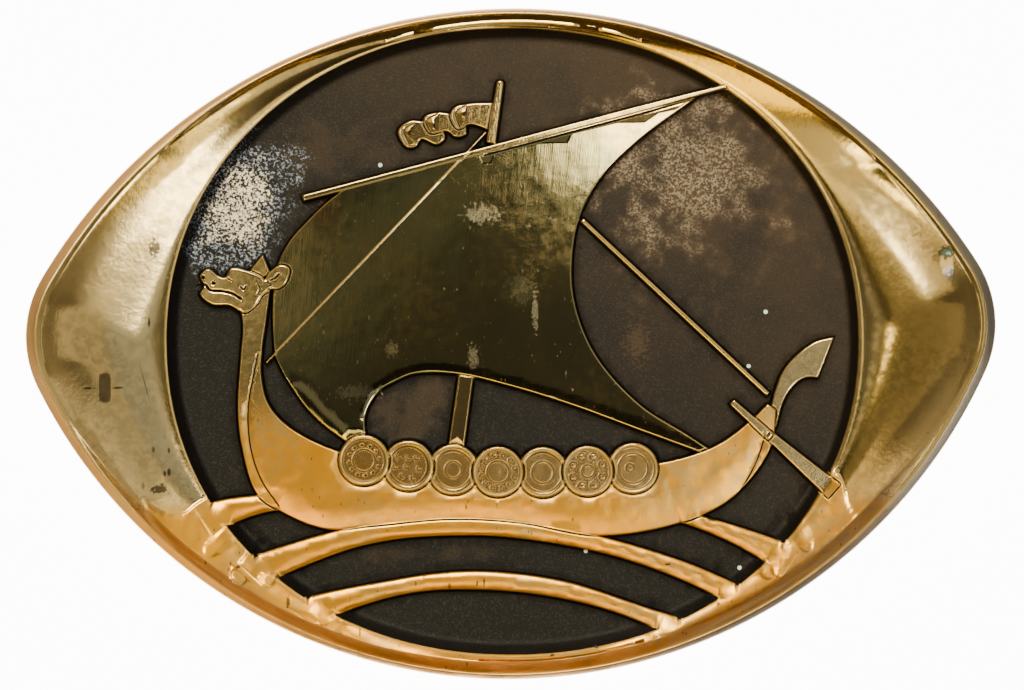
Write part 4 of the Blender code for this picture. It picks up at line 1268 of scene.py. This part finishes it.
# The ceiling, patch by patch, as the sail and the wings see it.
ceiling("over_sail", (-0.155, -0.12), (0.14, 0.2), 0.058)
ceiling("east", (0.14, -0.5), (0.9, 0.4), 0.4, (1.0, 1.12, 1.4))
ceiling("east_far", (0.75, -0.6), (2.2, 0.4), 0.5, (1.0, 0.95, 0.85))
turned("east_slant", (1.7, 0.9), (2.4, 0.6), 0.5, 28.0)
ceiling("over_head", (-0.3, 0.015), (-0.155, 0.16), 0.6, (1.0, 0.97, 0.8))
ceiling("west_near", (-0.32, -0.35), (-0.185, 0.015), 0.3)
ceiling("west", (-2.3, -0.4), (-0.5, 0.75), 0.21, warm)
turned("west_slant", (-1.25, -0.6), (1.6, 0.4), 0.6, 25.0, warm)
ceiling("ceiling_north", (-0.17, 0.3), (0.16, 0.9), 0.25)
ceiling("ceiling_south", (-0.25, -1.0), (0.35, -0.52), 2.3, (1.0, 0.93, 0.7))
ceiling("lit_corner", (-0.65, -0.85), (-0.25, -0.45), 4.5, (1.0, 0.78, 0.2))
ceiling("south_east", (0.35, -0.85), (0.75, -0.45), 0.9, warm)
sky((left_wing, 48.0, 45.0, 1.4), (0.6, 0.8), "north_east", 1.1, (1.0, 0.96, 0.8))
sky((right_wing, 138.0, 50.0, 1.4), (0.6, 0.9), "north_west", 0.9, (1.0, 0.8, 0.5))
sky((middle, 95.0, 38.0, 1.4), (0.5, 0.4), "window_north", 36.0, (1.0, 0.92, 0.72))
# The tall windows that the left wing mirrors.
sky(south_east, (0.12, 0.75), "window_high", 13.0, shift=(0.062, 0.38))
sky(south_east, (0.10, 0.28), "window_low", 14.0, roll=-22.0, shift=(0.01, -0.125))
sky(south_east, (0.15, 0.36), "window_foot", 2.2, yellow, roll=-22.0, shift=(-0.09, -0.42))
sky(south_east, (0.13, 0.13), "window_corner", 5.0, yellow, shift=(-0.22, -0.52))
# The lamp lit wall and the narrow bright gap that the right wing mirrors.
sky(south_west, (0.36, 1.15), "lit_wall", 3.5, (1.0, 0.70, 0.05), shift=(0.27, 0.13))
sky(south_west, (0.25, 1.0), "wall_between", 0.7, warm, shift=(-0.09, 0.15))
sky(south_west, (0.028, 0.5), "gap_high", 22.0, shift=(-0.181, 0.042), roll=13.0)
sky(south_west, (0.045, 0.14), "gap_low", 16.0, yellow, shift=(-0.1, -0.36), roll=5.0)
ceiling("gap_end", (-0.54, 0.03), (-0.41, 0.08), 12.0, yellow)
sky((middle, -70.0, 68.0, 1.3), (1.0, 0.5), "low_south", 0.7, pale_warm)
sky(((-0.15, 0.0, 0.0), 180.0, 48.0, 0.3), (0.25, 0.1), "near_west", 1.0, pale_warm)
panel("lamp", (0.10, 0.145, 1.72), (0.12, 0.06), 11.0, (1.0, 0.97, 0.85), (0.10, 0.145, 0.0), 0.3)
panel("beam", (-0.09, 0.06, 1.74), (0.21, 0.045), 0.12, (0.85, 1.0, 0.8), (-0.09, 0.06, 0.0), 0.79)
# The walls of the room: dark high up, lighter low down and in the north.
world = bpy.data.worlds.new("room")
bpy.context.scene.world = world
world.use_nodes = True
room = world.node_tree
away = put(room, "SeparateXYZ", {"Vector": put(room, "TexCoord").outputs["Generated"]})
low_down = ramp(away.outputs["Z"], 0.3, 0.8, 1.0, 0.0)
side = plus(times(away.outputs["Y"], 0.3), times(away.outputs["X"], 0.08))
wall = times(low_down, plus(side, 0.3))
backdrop = room.nodes["Background"]
backdrop.inputs["Color"].default_value = (1.0, 0.93, 0.8, 1.0)
room.links.new(plus(wall, 0.02), backdrop.inputs["Strength"])

# The camera hangs straight above the dish, far enough off that its sides are hardly seen, and
# is turned by the degree that the dish lies askew. Place in metres, turn in radians.
camera_place = (0.00034, -0.00039, 1.6)
camera_turn = -0.017
camera_lens = 179.9
camera_data = bpy.data.cameras.new("camera")
camera = bpy.data.objects.new("camera", camera_data)
bpy.context.scene.collection.objects.link(camera)
camera_data.lens = camera_lens
camera_data.sensor_width = 36.0
camera.location = camera_place
camera.rotation_euler = (0.0, 0.0, camera_turn)
bpy.context.scene.camera = camera
